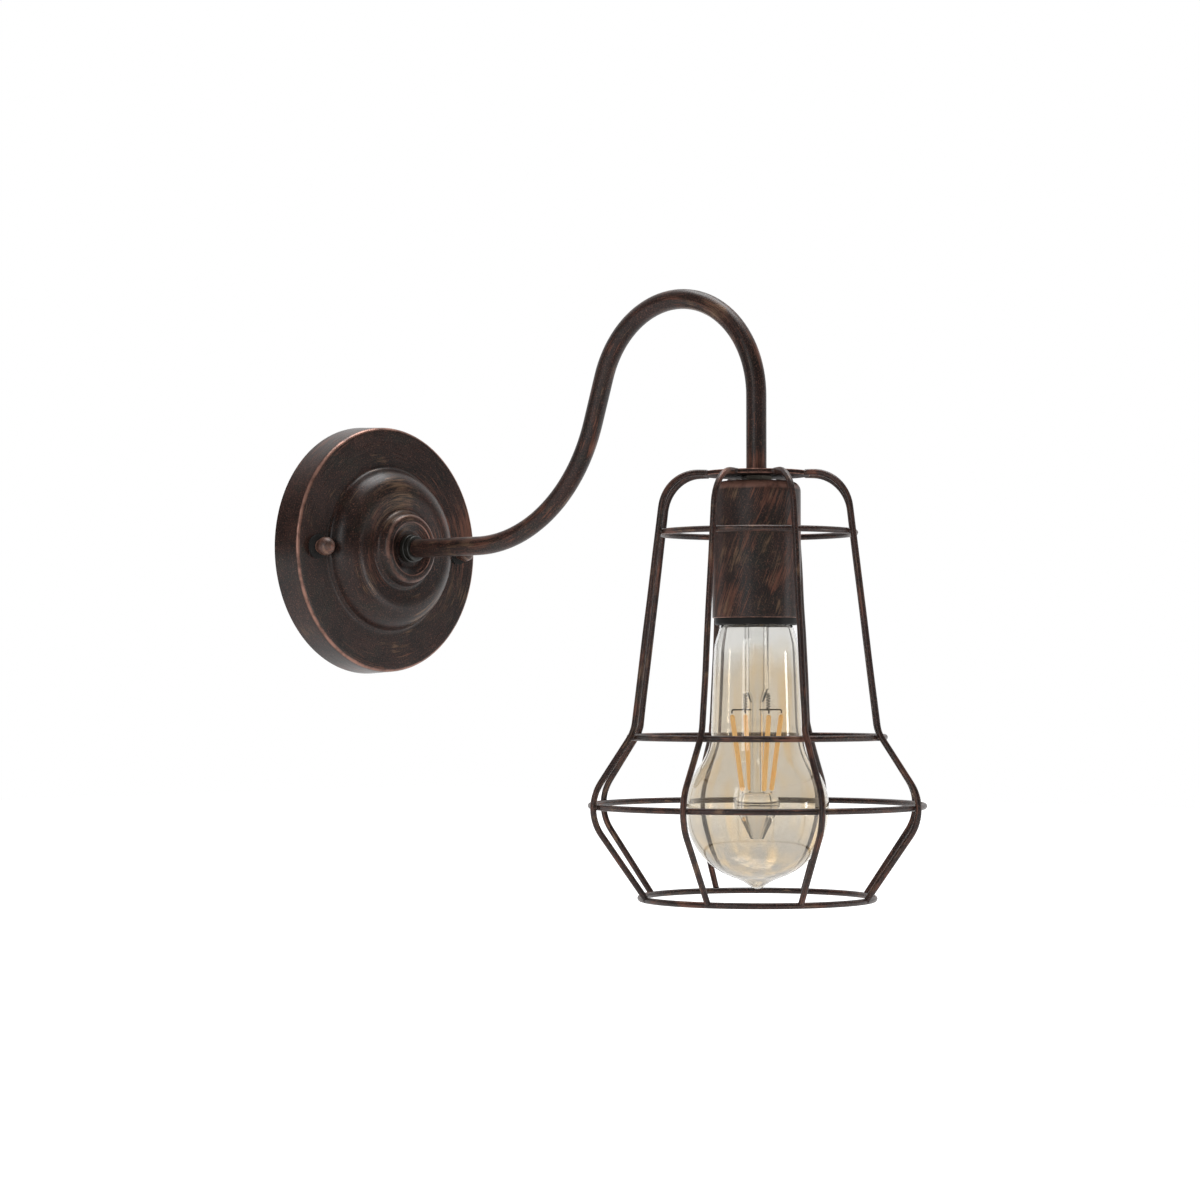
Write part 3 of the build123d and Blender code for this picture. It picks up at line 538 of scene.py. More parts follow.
def worn_and_lit_edge_group():
    """Wear along raised edges, broken up by noise; the same mask paints the highlight lines along those
    edges.
    """
    group, entry, leave = new_group("Worn Edge", {"Crest": 0.0, "Place": None, "Scale": 160.0},
                                    ("Mask",))
    break_up = noise_value(group, entry["Place"], entry["Scale"], 3.0, 0.6)
    raised = times(group, entry["Crest"], ranged(group, break_up, 0.35, 0.6, 0.4, 1.0))
    group.links.new(ranged(group, raised, 0.12, 0.85), leave["Mask"])
    return group


GROUPS = {}
GROUP_MAKERS = {
    "Dry Brush": dry_brush_group, "Paint Speckle": speckle_group, "Worn Edge": worn_and_lit_edge_group,
}


def use_group(tree, name, **inputs):
    """Place one of the shared groups in a material, made once."""
    if name not in GROUPS:
        GROUPS[name] = GROUP_MAKERS[name]()
    pairs = [(label.replace("_", " "), value) for label, value in inputs.items()]
    return add(tree, "ShaderNodeGroup", pairs, node_tree=GROUPS[name]).outputs


def new_material(name):
    """Material with a Principled shader, and its tree, shader and object coordinates."""
    material = bpy.data.materials.new(name)
    material.use_nodes = True
    tree = material.node_tree
    shader = tree.nodes["Principled BSDF"]
    place = add(tree, "ShaderNodeTexCoord").outputs["Object"]
    return material, tree, shader, place


def relief(tree, shader, height, distance, strength=0.5):
    """Feed a height into the shader's normal."""
    bump = add(tree, "ShaderNodeBump", (
        ("Distance", distance), ("Strength", strength), ("Height", height),
    ))
    feed(tree, shader, (("Normal", bump.outputs["Normal"]),))


# Brushed paint: how strongly each layer covers the one below, and how metallic the strokes are
SPECKLE_COVER, COPPER_COVER, GOLD_COVER, WORN_AND_LIT_COVER = 0.30, 0.72, 0.55, 0.95
BARE_METAL = 0.5
# Brushed paint: the gold strokes beside the copper ones
GOLD_FINENESS, GOLD_PATCH, GOLD_COVERAGE, GOLD_SEED = 1.5, 1.7, 0.8, 3.7
# Brushed paint: grain of the spray, depth of its relief, and the weights of strokes and grain in it
SPRAY_GRAIN = 1500.0
RELIEF_DEPTH = 0.08 * MM
STROKE_RELIEF, GRAIN_RELIEF = 0.55, 0.45


def brushed_paint(name, colours, fineness, patch, coverage, worn_lit_scale=160.0, gloss=0.36, sheen=0.45,
                  warmth=0.0):
    """Near-black bronze paint, dry-brushed with copper and gold and worn pink along its edges, a pink
    that also paints their highlights.
    """
    material, tree, shader, place = new_material(name)
    stroke = add(tree, "ShaderNodeAttribute", attribute_name="stroke").outputs["Vector"]
    crest = add(tree, "ShaderNodeAttribute", attribute_name="crest").outputs["Fac"]
    copper = use_group(tree, "Dry Brush", Stroke=stroke, Place=place, Fineness=fineness,
                       Patch_Scale=patch, Coverage=coverage)
    gold = use_group(tree, "Dry Brush", Stroke=stroke, Place=place, Seed=GOLD_SEED,
                     Fineness=fineness * GOLD_FINENESS, Patch_Scale=patch * GOLD_PATCH,
                     Coverage=coverage * GOLD_COVERAGE)
    grain = use_group(tree, "Paint Speckle", Place=place, Grain=SPRAY_GRAIN)
    edge = use_group(tree, "Worn Edge", Crest=crest, Place=place, Scale=worn_lit_scale)
    tone = ranged(tree, noise_value(tree, place, 34.0, 4.0, 0.65), 0.36, 0.62, warmth)
    moss = ranged(tree, noise_value(tree, place, 61.0, 5.0, 0.7, 0.6), 0.50, 0.66, 0.0, 0.8)
    base = mixed(tree, tone, colours.paint_dark, colours.paint_warm)
    mottled = mixed(tree, moss, base, colours.paint_moss)
    speckled = mixed(tree, times(tree, grain["Mask"], SPECKLE_COVER), mottled, colours.copper)
    shaded = add(tree, "ShaderNodeVectorMath", ((0, speckled), ("Scale", grain["Shade"])),
                 operation="SCALE").outputs[0]
    brushed = mixed(tree, times(tree, copper["Mask"], COPPER_COVER), shaded, colours.copper)
    gilded = mixed(tree, times(tree, gold["Mask"], GOLD_COVER), brushed, colours.gold)
    # Pink on raised edges: partly real wear, partly a painted highlight along rims and lips.
    worn_and_lit = mixed(tree, times(tree, edge["Mask"], WORN_AND_LIT_COVER), gilded, colours.crest)
    bare = maths(tree, "MAXIMUM", maths(tree, "MAXIMUM", copper["Mask"], gold["Mask"]), edge["Mask"])
    feed(tree, shader, (
        ("Base Color", worn_and_lit), ("Metallic", times(tree, bare, BARE_METAL)),
        ("Roughness", ranged(tree, copper["Relief"], 0.3, 0.7, gloss * 0.85, gloss * 1.35)),
        ("Specular IOR Level", sheen),
    ))
    height = weighted(tree, (copper["Relief"], STROKE_RELIEF), (grain["Height"], GRAIN_RELIEF))
    relief(tree, shader, height, RELIEF_DEPTH)
    return material


def plain_finish(name, tone, rough, metallic, grain, spread, bump=0.02, sheen=0.5, painted_glow=0.0):
    """Even finish with a fine grain in its colour, gloss and surface, and a painted glow in its own
    colour that lightens the phosphor.
    """
    material, tree, shader, place = new_material(name)
    fine = noise_value(tree, place, grain, 3.0, 0.6)
    broad = noise_value(tree, place, grain / 18, 2.0, 0.5)
    shade = weighted(tree, (fine, 0.5), (broad, 0.5))
    dark = tuple(channel * (1 - spread) for channel in tone)
    light = tuple(min(1.0, channel * (1 + spread)) for channel in tone)
    feed(tree, shader, (
        ("Base Color", mixed(tree, ranged(tree, shade, 0.35, 0.65), dark, light)),
        ("Roughness", ranged(tree, shade, 0.3, 0.7, rough * 0.85, min(1.0, rough * 1.2))),
        ("Metallic", metallic), ("Specular IOR Level", sheen),
        # Painted glow: emission that lightens a piece which gives no light of its own.
        ("Emission Color", (*tone, 1.0)), ("Emission Strength", painted_glow),
    ))
    relief(tree, shader, fine, bump * MM)
    return material


# Levels between which the glass takes the tint of its foot, and how far its tints waver
FOOT_START, FOOT_END = -0.115, -0.145
TINT_WAVER = 16.0 * MM


def tinted_glass(name, neck_tone, belly_tone, foot_tone, streak_tone, top, bottom, rough, body):
    """Clear glass whose tint deepens below the neck and again at its foot, with faint streaks."""
    material, tree, shader, place = new_material(name)
    height = add(tree, "ShaderNodeSeparateXYZ", (("Vector", place),)).outputs["Z"]
    cloud = noise_value(tree, place, 45.0, 2.0, 0.5)
    waved = maths(tree, "ADD", height, times(tree, maths(tree, "SUBTRACT", cloud, 0.5), TINT_WAVER))
    down = ranged(tree, waved, top, bottom)
    upper = mixed(tree, down, neck_tone, belly_tone)
    tint = mixed(tree, ranged(tree, waved, FOOT_START, FOOT_END), upper, foot_tone)
    drawn = add(tree, "ShaderNodeMapping", (("Vector", place), ("Scale", (1.0, 1.0, 0.10))))
    streaks = noise_value(tree, drawn.outputs[0], 120.0, 2.0, 0.5)
    amount = times(tree, ranged(tree, streaks, 0.50, 0.72), down)
    feed(tree, shader, (
        ("Base Color", mixed(tree, amount, tint, streak_tone)), ("Roughness", rough), ("IOR", 1.46),
        ("Specular IOR Level", 0.3), ("Transmission Weight", body), ("Metallic", 0.0),
    ))
    ripple = noise_value(tree, place, 40.0, 0.0, 0.0)
    relief(tree, shader, ripple, 0.02 * MM, 0.1)
    return material


# Name, fineness, patch scale, coverage, scale of the worn and lit edges, gloss, sheen and warmth
BRUSHED = {
    "canopy": ("Canopy paint", 1800.0, 26.0, 0.36, 160.0, 0.30, 0.30),
    "arm": ("Arm paint", 1700.0, 40.0, 0.46, 160.0, 0.36, 0.30, 0.3),
    "wire": ("Wire paint", 2200.0, 60.0, 0.44, 300.0, 0.36, 0.36, 0.3),
    "cup": ("Cup paint", 2400.0, 50.0, 0.46, 220.0, 0.36, 0.34),
    "nut": ("Nut paint", 1500.0, 90.0, 0.50),
    "disc": ("Disc paint", 1700.0, 60.0, 0.30, 300.0, 0.6, 0.12),
}
# Name, colour, roughness, metallic, grain, spread of tone, bump in millimetres, sheen and painted glow
PLAIN = {
    "ferrule": ("Ferrule paint", "ferrule", 0.34, 0.0, 1400.0, 0.35),
    # Painted shade: the zinc nut under the disc, darkened to its shadow.
    "dull": ("Dull steel", "dull", 0.42, 1.0, 900.0, 0.3),
    "zinc": ("Zinc steel", "zinc", 0.32, 1.0, 900.0, 0.15, 0.01),
    "brass": ("Brass", "brass", 0.28, 1.0, 1200.0, 0.12, 0.01),
    # Near-black washers under the ball nuts: a dark ring round each nut's foot.
    "fibre": ("Black fibre", "black", 0.8, 0.0, 2600.0, 0.5, 0.05),
    "moulding": ("Phenolic moulding", "black", 0.5, 0.0, 1500.0, 0.3, 0.02, 0.2),
    "sheath": ("Cable sheath", "black", 0.6, 0.0, 900.0, 0.3),
    "nylon": ("Nylon", "nylon", 0.45, 0.0, 800.0, 0.06),
    "porcelain": ("Porcelain", "porcelain", 0.12, 0.0, 500.0, 0.05),
    "black_glass": ("Black glass", "black", 0.08, 0.0, 600.0, 0.3),
    "board": ("Circuit board", "board", 0.35, 0.0, 1500.0, 0.2),
    # The phosphor's glow is painted light that lightens the filaments inside the glass.
    "phosphor": ("Phosphor coat", "phosphor", 0.5, 0.0, 2400.0, 0.16, 0.02, 0.5, 0.5),
    "lead": ("Lead wire", "wire", 0.35, 1.0, 1500.0, 0.2),
}
# Name, colours of neck, belly, foot and streaks, levels of the first tint, roughness, transmission
GLASS = {
    "amber": ("Amber glass", ("glass_neck", "glass_amber", "glass_foot", "glass_streak"),
              -0.049, -0.064, 0.01, 0.95),
    "stem": ("Stem glass", ("stem_top", "stem_foot", "stem_foot", "stem_streak"),
             -0.045, -0.125, 0.03, 1.0),
}
MATERIALS = {}


def finish_of(name, scene):
    """One of the lamp's materials, made when it is first asked for."""
    tones = scene.lamp_colours
    if name not in MATERIALS:
        if name in BRUSHED:
            title, *settings = BRUSHED[name]
            MATERIALS[name] = brushed_paint(title, tones, *settings)
        elif name in PLAIN:
            title, tone, *settings = PLAIN[name]
            MATERIALS[name] = plain_finish(title, getattr(tones, tone), *settings)
        else:
            title, tints, *settings = GLASS[name]
            MATERIALS[name] = tinted_glass(title, *(getattr(tones, tint) for tint in tints), *settings)
    return MATERIALS[name]


# Pieces on the frame

def placed(scene, name, data):
    """A new object in the scene, with its data."""
    item = bpy.data.objects.new(name, data)
    scene.collection.objects.link(item)
    return item


def settle(context, mesh, finish, *nodes, body="fixture", slot="bronze_paint"):
    """Put a finished mesh on its body, with its material and the nodes that it stands for."""
    piece = placed(context.scene, mesh.name, mesh)
    mesh.materials.clear()
    mesh.materials.append(finish_of(finish, context.scene))
    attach(piece, body)
    if nodes:
        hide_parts(*nodes)


def paint(context, finish, *nodes):
    """Give nodes of the frame their material."""
    for node in nodes:
        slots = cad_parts[node].data.materials
        slots.clear()
        slots.append(finish_of(finish, context.scene))


class LAMP_OT_canopy(bpy.types.Operator):
    """Spin the wall plate with its dome, groove, boss ring and dish"""
    bl_idname = "lamp.canopy"
    bl_label = "Canopy"

    def execute(self, context):
        sizes = context.scene.lamp_canopy
        face = sizes.depth
        hole = context.scene.lamp_arm.thread / 2
        corners = [
            (sizes.back, 0.0),
            (sizes.front, face),
            (sizes.foot, face),
            (sizes.foot - sizes.lean, face + sizes.flank),
            (sizes.groove, face + sizes.groove_rise),
            (sizes.boss, face + BOSS_RISE),
            (sizes.boss_inner, face + BOSS_RISE),
            (sizes.dish, face + sizes.dish_rise),
            (hole, face + sizes.dish_rise),
        ]
        bends = [bend * MM for bend in (1.6, 2.2, 12.4, 2.6, 2.4, 2.0, 2.6)]
        # The rim's tight bend takes the full worn-edge pink: wear and a painted highlight line.
        worn_and_lit_bend, row = 1.6 * MM, 1.5 * MM
        outer, crests = divided(*rounded(corners, bends, 9, worn_and_lit_bend), row)
        inner = inset(outer, sizes.skin)[::-1]
        inner[-1].y = 0.0
        crests += [0.0] * len(inner)
        mesh = lathe("canopy_shell", outer + inner, crests, on_wall, segments=240, loop=True)
        settle(context, mesh, "canopy", "canopy")
        return {"FINISHED"}


class LAMP_OT_ferrule(bpy.types.Operator):
    """Turn the stepped ferrule that holds the arm on the canopy"""
    bl_idname = "lamp.ferrule"
    bl_label = "Arm ferrule"

    def execute(self, context):
        foot = -high("arm_ferrule", 1)
        top = -low("arm_ferrule", 1)
        radius = span("arm_ferrule", 0) / 2
        waist_rise, step, play = 2.6 * MM, 0.7 * MM, 0.05 * MM
        waist = foot + waist_rise
        bore = context.scene.lamp_arm.tube / 2 + play
        corners = [
            (bore, foot), (radius, foot), (radius, waist), (radius - 2 * step, waist),
            (radius - 2 * step, waist + step), (radius - step, waist + step),
            (radius - step, top), (bore, top),
        ]
        points, crests = rounded(corners, [bend * MM for bend in (0.3, 0.5, 0.2, 0.2, 0.2, 0.5)])
        mesh = lathe("ferrule_collar", points, crests, on_wall, segments=96, loop=True)
        settle(context, mesh, "ferrule", "arm_ferrule")
        return {"FINISHED"}


def arm_path(sizes, start, end, steps=48):
    """Centre line of the arm, from a distance off the wall to a level over the lamp."""
    rise = sizes.rise
    first_start = (
        REACH - sizes.first_bend * math.sin(rise) - sizes.straight * math.cos(rise)
        - sizes.top_bend * (1 + math.sin(rise))
    )
    flat = [Vector((start, 0.0)), Vector((start * 0.5 + first_start * 0.5, 0.0))]
    flat += arc((first_start, sizes.first_bend), sizes.first_bend, -math.pi / 2,
                rise - math.pi / 2, steps)
    leg = flat[-1] + Vector((math.cos(rise), math.sin(rise))) * sizes.straight
    flat += [(flat[-1] + leg) / 2]
    top = leg + Vector((math.sin(rise), -math.cos(rise))) * sizes.top_bend
    flat += arc(top, sizes.top_bend, rise + math.pi / 2, 0.0, steps)
    last = flat[-1]
    drops = 12
    flat += [last.lerp(Vector((REACH, end)), share / drops) for share in range(1, drops + 1)]
    return [Vector((0.0, -point.x, point.y)) for point in flat]


class LAMP_OT_arm(bpy.types.Operator):
    """Bend the swan-neck arm and cut its threaded ends"""
    bl_idname = "lamp.arm"
    bl_label = "Arm"

    def execute(self, context):
        sizes = context.scene.lamp_arm
        in_ferrule, in_cup = 3.4 * MM, 8.0 * MM
        thread_depth, pitch = 0.45 * MM, 1.0 * MM
        start = -low("arm_ferrule", 1) - in_ferrule
        end = high("cage_cap", 2)
        path = arm_path(sizes, start, end)
        mesh = sweep("arm_tube_skin", path, lambda distance: sizes.tube / 2, 32)
        settle(context, mesh, "arm", "arm_tube")
        core = sizes.thread / 2 - thread_depth
        for name, at, low_end, high_end in (
            ("arm_thread_wall", on_wall, -high("arm_tube", 1), start),
            ("arm_thread_lamp", on_lamp, high("socket_cup", 2) - in_cup, end),
        ):
            rod = thread_rod(name, at, sizes.thread / 2, core, pitch, low_end, high_end,
                             bore=sizes.bore / 2)
            settle(context, rod, "zinc", slot="zinc_steel")
        return {"FINISHED"}


def rib_outline(sizes):
    """Centre line of one rib as radius and level, with its long runs divided."""
    ring_radius = span("bottom_ring", 0) / 2 - sizes.wire / 2
    ring_level = low("bottom_ring", 2) + sizes.wire / 2
    level = middle("cage_cap", 2)
    foot_share, disc_bite, row = 0.42, 0.15 * MM, 3.0 * MM
    foot = Vector((ring_radius, ring_level))
    belly = Vector((sizes.belly, -sizes.belly_drop))
    foot += (belly - foot).normalized() * sizes.wire * foot_share
    corners = [
        (sizes.disc - disc_bite, level),
        (sizes.head, level),
        (sizes.shoulder, -sizes.shoulder_drop),
        tuple(belly),
        tuple(foot),
    ]
    points, crests = rounded(corners, [bend * MM for bend in (18.0, 15.0, 20.0)], 14)
    return divided(points, crests, row)[0]


def weld_ribs(context, name, radius, level, length, thickness, seeds):
    """Put a weld bead on each rib where it meets a ring or the disc, as one piece."""
    sizes = context.scene.lamp_cage
    work = bmesh.new()
    for angle, seed in zip(around(sizes.ribs, sizes.phase), seeds):
        tangent = Vector((-math.sin(angle), math.cos(angle), 0.0))
        bead(work, on_lamp(radius, angle, level), tangent, length, thickness, seed)
    mesh = bpy.data.meshes.new(name)
    work.to_mesh(mesh)
    work.free()
    settle(context, closed(mesh), "wire")


class LAMP_OT_ribs(bpy.types.Operator):
    """Bend the cage's ribs, each with the small unevenness of hand bending"""
    bl_idname = "lamp.ribs"
    bl_label = "Cage ribs"

    def execute(self, context):
        sizes = context.scene.lamp_cage
        outline = rib_outline(sizes)
        last = len(outline) - 1
        wave_step, rib_step, sway_size = 0.11, 7.3, 0.45
        for number, angle in enumerate(around(sizes.ribs, sizes.phase)):
            path = []
            for index, point in enumerate(outline):
                hold = math.sin(math.pi * index / last)
                wave = noise.noise(Vector((index * wave_step, number * rib_step, 0.5)))
                sway = wave * sway_size * MM * hold
                path.append(on_lamp(point.x, angle + sway / point.x, point.y))
            mesh = sweep(f"rib_wire_{number + 1}", path, lambda distance: sizes.wire / 2, 20)
            settle(context, mesh, "wire", f"cage_rib_{number + 1}")
        return {"FINISHED"}


class LAMP_OT_rings(bpy.types.Operator):
    """Roll the cage's four rings and weld them to the ribs"""
    bl_idname = "lamp.rings"
    bl_label = "Cage rings"

    def execute(self, context):
        sizes = context.scene.lamp_cage
        half = sizes.wire / 2
        weld_share, steps = 0.95, 192
        outline = rib_outline(sizes)
        for ring in ("top_ring", "shoulder_ring", "belly_ring", "bottom_ring"):
            radius = span(ring, 0) / 2 - half
            level = low(ring, 2) + half
            path = [on_lamp(radius, angle, level) for angle in around(steps)]
            mesh = sweep(f"{ring}_wire", path, lambda distance: half, 20, loop=True)
            settle(context, mesh, "wire", ring)
            near = min(outline, key=lambda point: abs(point.y - level))
            seeds = [number + radius / MM for number in range(sizes.ribs)]
            weld_ribs(context, f"{ring}_welds", (near.x + radius) / 2, level, sizes.weld,
                      half * weld_share, seeds)
        return {"FINISHED"}


class LAMP_OT_disc(bpy.types.Operator):
    """Turn the cage's disc, with the welds of its ribs, and give the nut under it zinc darkened as
    painted shade
    """
    bl_idname = "lamp.disc"
    bl_label = "Cage disc"

    def execute(self, context):
        sizes = context.scene.lamp_cage
        bottom, top = low("cage_cap", 2), high("cage_cap", 2)
        hole = context.scene.lamp_arm.thread / 2
        edge_bend, row, weld_out = 0.5 * MM, 2.0 * MM, 0.2 * MM
        long_share, weld_share, seed_step = 1.2, 0.92, 2.7
        corners = [(hole, bottom), (sizes.disc, bottom), (sizes.disc, top), (hole, top)]
        points, crests = divided(*rounded(corners, [edge_bend, edge_bend]), row)
        mesh = lathe("cage_disc", points, crests, on_lamp, segments=120, loop=True)
        settle(context, mesh, "disc", "cage_cap")
        seeds = [number * seed_step for number in range(sizes.ribs)]
        weld_ribs(context, "disc_welds", sizes.disc + weld_out, (bottom + top) / 2,
                  sizes.weld * long_share, sizes.wire / 2 * weld_share, seeds)
        # The lock nut's zinc is darkened as painted shade under the disc.
        paint(context, "dull", "cage_lock_nut")
        return {"FINISHED"}


class LAMP_OT_cup(bpy.types.Operator):
    """Draw the socket cup, with its rounded top and plain lower edge"""
    bl_idname = "lamp.cup"
    bl_label = "Socket cup"

    def execute(self, context):
        bottom, top = low("socket_cup", 2), high("socket_cup", 2)
        radius = span("socket_cup", 0) / 2
        wall = 0.9 * MM
        hole = context.scene.lamp_arm.thread / 2
        corners = [
            (radius - wall, bottom), (radius, bottom), (radius, top), (hole, top),
            (hole, top - wall), (radius - wall, top - wall), (radius - wall, bottom + wall / 2),
        ]
        bends = [bend * MM for bend in (0.35, 4.5, 0.1, 0.1, 3.6)]
        # Tight bends at the top and the lower lip take the full worn-edge pink: wear and a painted
        # highlight line.
        worn_and_lit_bend, row = 4.5 * MM, 1.5 * MM
        points, crests = divided(*rounded(corners, bends, 8, worn_and_lit_bend), row)
        mesh = lathe("socket_cup_shell", points, crests, on_lamp, slanting, loop=True)
        settle(context, mesh, "cup", "socket_cup")
        return {"FINISHED"}


class LAMP_OT_lampholder(bpy.types.Operator):
    """Finish the lampholder: skirt, cap, porcelain insert, shell and contacts"""
    bl_idname = "lamp.lampholder"
    bl_label = "Lampholder"

    def execute(self, context):
        paint(context, "moulding", "holder_skirt", "holder_cap")
        paint(context, "porcelain", "holder_insert")
        paint(context, "brass", "screw_shell", "centre_contact", "shell_contact", "holder_screws")
        return {"FINISHED"}


def blend_centre(start, line, centre, reach):
    """The first point along a line that lies at a distance from a centre."""
    offset = start - centre
    along = offset.dot(line)
    return start + line * (-along - math.sqrt(along ** 2 - offset.length_squared + reach ** 2))


def turn_of(vector):
    """Angle of a direction in the plane, from zero to a full turn."""
    return math.atan2(vector.y, vector.x) % TURN


class LAMP_OT_bulb_glass(bpy.types.Operator):
    """Blow the amber glass: neck, round belly and nipple tip"""
    bl_idname = "lamp.bulb_glass"
    bl_label = "Bulb glass"

    def execute(self, context):
        sizes = context.scene.lamp_bulb
        rim = low("bulb_cap", 2)
        belly_drop, shoulder_drop, collar_drop, row = 87.3 * MM, 13.5 * MM, 5.0 * MM, 2.5 * MM
        belly = Vector((0.0, rim - belly_drop))
        tip = Vector((0.0, low("bulb_glass", 2) + sizes.tip))
        tip_bend, waist_bend = 27.0 * MM, 26.0 * MM
        tip_blend = circles_meet(belly, sizes.belly + tip_bend, tip, sizes.tip + tip_bend)
        shoulder = Vector((sizes.shoulder, rim - shoulder_drop))
        line = (Vector((sizes.waist, belly.y)) - shoulder).normalized()
        out = Vector((-line.y, line.x))
        waist_blend = blend_centre(shoulder + out * waist_bend, line, belly,
                                   sizes.belly + waist_bend)
        points = arc(tip, sizes.tip, -TURN / 4, math.atan2(*(tip_blend - tip).yx), 10)
        points += arc(tip_blend, tip_bend, turn_of(tip - tip_blend), turn_of(belly - tip_blend),
                      12)[1:-1]
        points += arc(belly, sizes.belly, turn_of(tip_blend - belly) - TURN,
                      turn_of(waist_blend - belly), 48)
        points += arc(waist_blend, waist_bend, turn_of(belly - waist_blend), turn_of(-out), 14)[1:]
        upper = [
            tuple(points[-1]),
            tuple(shoulder),
            (sizes.collar, rim - collar_drop),
            (sizes.neck, rim),
            (sizes.neck, high("bulb_glass", 2)),
        ]
        bends = [bend * MM for bend in (24.0, 9.0, 3.0)]
        neck, _ = rounded(upper, bends, 12)
        points += neck[1:]
        points, _ = divided(points, [0.0] * len(points), row)
        inner = inset(points, sizes.wall)
        inner[0].x = 0.0
        points = points + inner[::-1]
        mesh = lathe("amber_bulb", points, [0.0] * len(points), on_lamp, segments=160)
        settle(context, mesh, "amber", "bulb_glass", body="bulb", slot="amber_glass")
        return {"FINISHED"}


class LAMP_OT_bulb_cap(bpy.types.Operator):
    """Roll the screw cap with its rounded thread, and finish the pieces round it"""
    bl_idname = "lamp.bulb_cap"
    bl_label = "Bulb cap"

    def execute(self, context):
        sizes = context.scene.lamp_bulb
        rim, top = low("bulb_cap", 2), high("bulb_cap", 2)
        radius = sizes.cap / 2
        thread_depth, plain_top, bore = 0.95 * MM, 2.0 * MM, 10.9 * MM
        mesh = thread_rod("cap_thread", on_lamp, radius, radius - thread_depth, sizes.cap_pitch,
                          rim, top - plain_top, bore, segments=96, per_turn=16)
        settle(context, mesh, "brass", "bulb_cap", body="bulb", slot="cap_brass")
        paint(context, "zinc", "bulb_contact")
        paint(context, "black_glass", "bulb_insulator")
        paint(context, "board", "bulb_driver")
        return {"FINISHED"}


class LAMP_OT_filaments(bpy.types.Operator):
    """Draw the four filaments and the coils beside the stem, and finish the stem and leads"""
    bl_idname = "lamp.filaments"
    bl_label = "Stem and filaments"

    def execute(self, context):
        sizes = context.scene.lamp_bulb
        rim = low("bulb_cap", 2)
        phase = math.radians(65.0)
        half = sizes.filament / 2
        top, foot = (12.3 * MM, rim - 44.6 * MM), (7.2 * MM, rim - 79.0 * MM)
        coil_place, coil_fall, coil_wire = (5.7 * MM, rim - 35.2 * MM), 7.2 * MM, 0.22 * MM
        count, steps, turns, per_turn = 4, 24, 6, 14
        for number, angle in enumerate(around(count, phase)):
            start, end = on_lamp(top[0], angle, top[1]), on_lamp(foot[0], angle, foot[1])
            length = (end - start).length

            def capsule(distance, length=length):
                inside = min(distance, length - distance) / half
                return half * math.sqrt(max(0.02, 1 - max(0.0, 1 - inside) ** 2))

            path = [start.lerp(end, 0.5 - 0.5 * math.cos(math.pi * step / steps))
                    for step in range(steps + 1)]
            mesh = sweep(f"filament_{number + 1}", path, capsule, 16)
            nodes = ("led_filaments",) if number == 0 else ()
            settle(context, mesh, "phosphor", *nodes, body="bulb", slot="filament_coat")
        for number, angle in enumerate((phase + TURN / 4, phase + 3 * TURN / 4)):
            axis = on_lamp(coil_place[0], angle, coil_place[1])
            path = []
            for step in range(turns * per_turn + 1):
                turned = TURN * step / per_turn
                fall = coil_fall * step / (turns * per_turn)
                path.append(axis + Vector((
                    sizes.spring * math.cos(turned), sizes.spring * math.sin(turned), -fall)))
            coil = sweep(f"stem_coil_{number + 1}", path, lambda distance: coil_wire, 8)
            settle(context, coil, "lead", body="bulb", slot="lead_wire")
        paint(context, "stem", "bulb_stem")
        paint(context, "lead", "filament_leads")
        return {"FINISHED"}


class LAMP_OT_ball_nuts(bpy.types.Operator):
    """Turn the two ball nuts and finish their washers and studs"""
    bl_idname = "lamp.ball_nuts"
    bl_label = "Ball nuts"

    def execute(self, context):
        neck, hole, cap_wall, chamfer = 3.3 * MM, 2.05 * MM, 1.2 * MM, 0.3 * MM
        for side in ("left", "right"):
            node = f"{side}_ball_nut"
            place = middle(node, 0)
            radius = span(node, 0) / 2
            foot, top = -high(node, 1), -low(node, 1)
            centre = top - radius
            start = -math.acos(neck / radius)
            ball = arc((0.0, centre), radius, start, math.pi / 2, 20)
            points = [Vector((hole, foot)), Vector((neck - chamfer, foot)),
                      Vector((neck, foot + chamfer))] + ball
            points += [Vector((0.0, top - cap_wall)), Vector((hole, top - cap_wall))]
            # Crests feed the worn-edge pink: wear and a painted highlight.
            crests = [0.0, 0.0, 1.0] + [0.3] * len(ball) + [0.0, 0.0]

            def at(radius_here, angle, height, place=place):
                return on_wall(radius_here, angle, height) + Vector((place, 0.0, 0.0))

            mesh = lathe(f"{side}_ball", points, crests, at, segments=64, loop=True)
            settle(context, mesh, "nut", node, body=f"{side}_nut", slot="nut_paint")
            # A near-black washer makes a dark ring round the nut's foot.
            paint(context, "fibre", f"{side}_nut_washer")
            paint(context, "zinc", f"{side}_stud")
        return {"FINISHED"}


class LAMP_OT_wall_side(bpy.types.Operator):
    """Finish what the canopy hides: strap, nuts, terminal block and cable"""
    bl_idname = "lamp.wall_side"
    bl_label = "Wall side"

    def execute(self, context):
        paint(context, "zinc", "wall_strap", "stud_nuts", "arm_washer", "arm_lock_nut")
        paint(context, "brass", "ground_screw", "terminal_screws")
        paint(context, "nylon", "terminal_block")
        paint(context, "sheath", "lamp_cable")
        return {"FINISHED"}


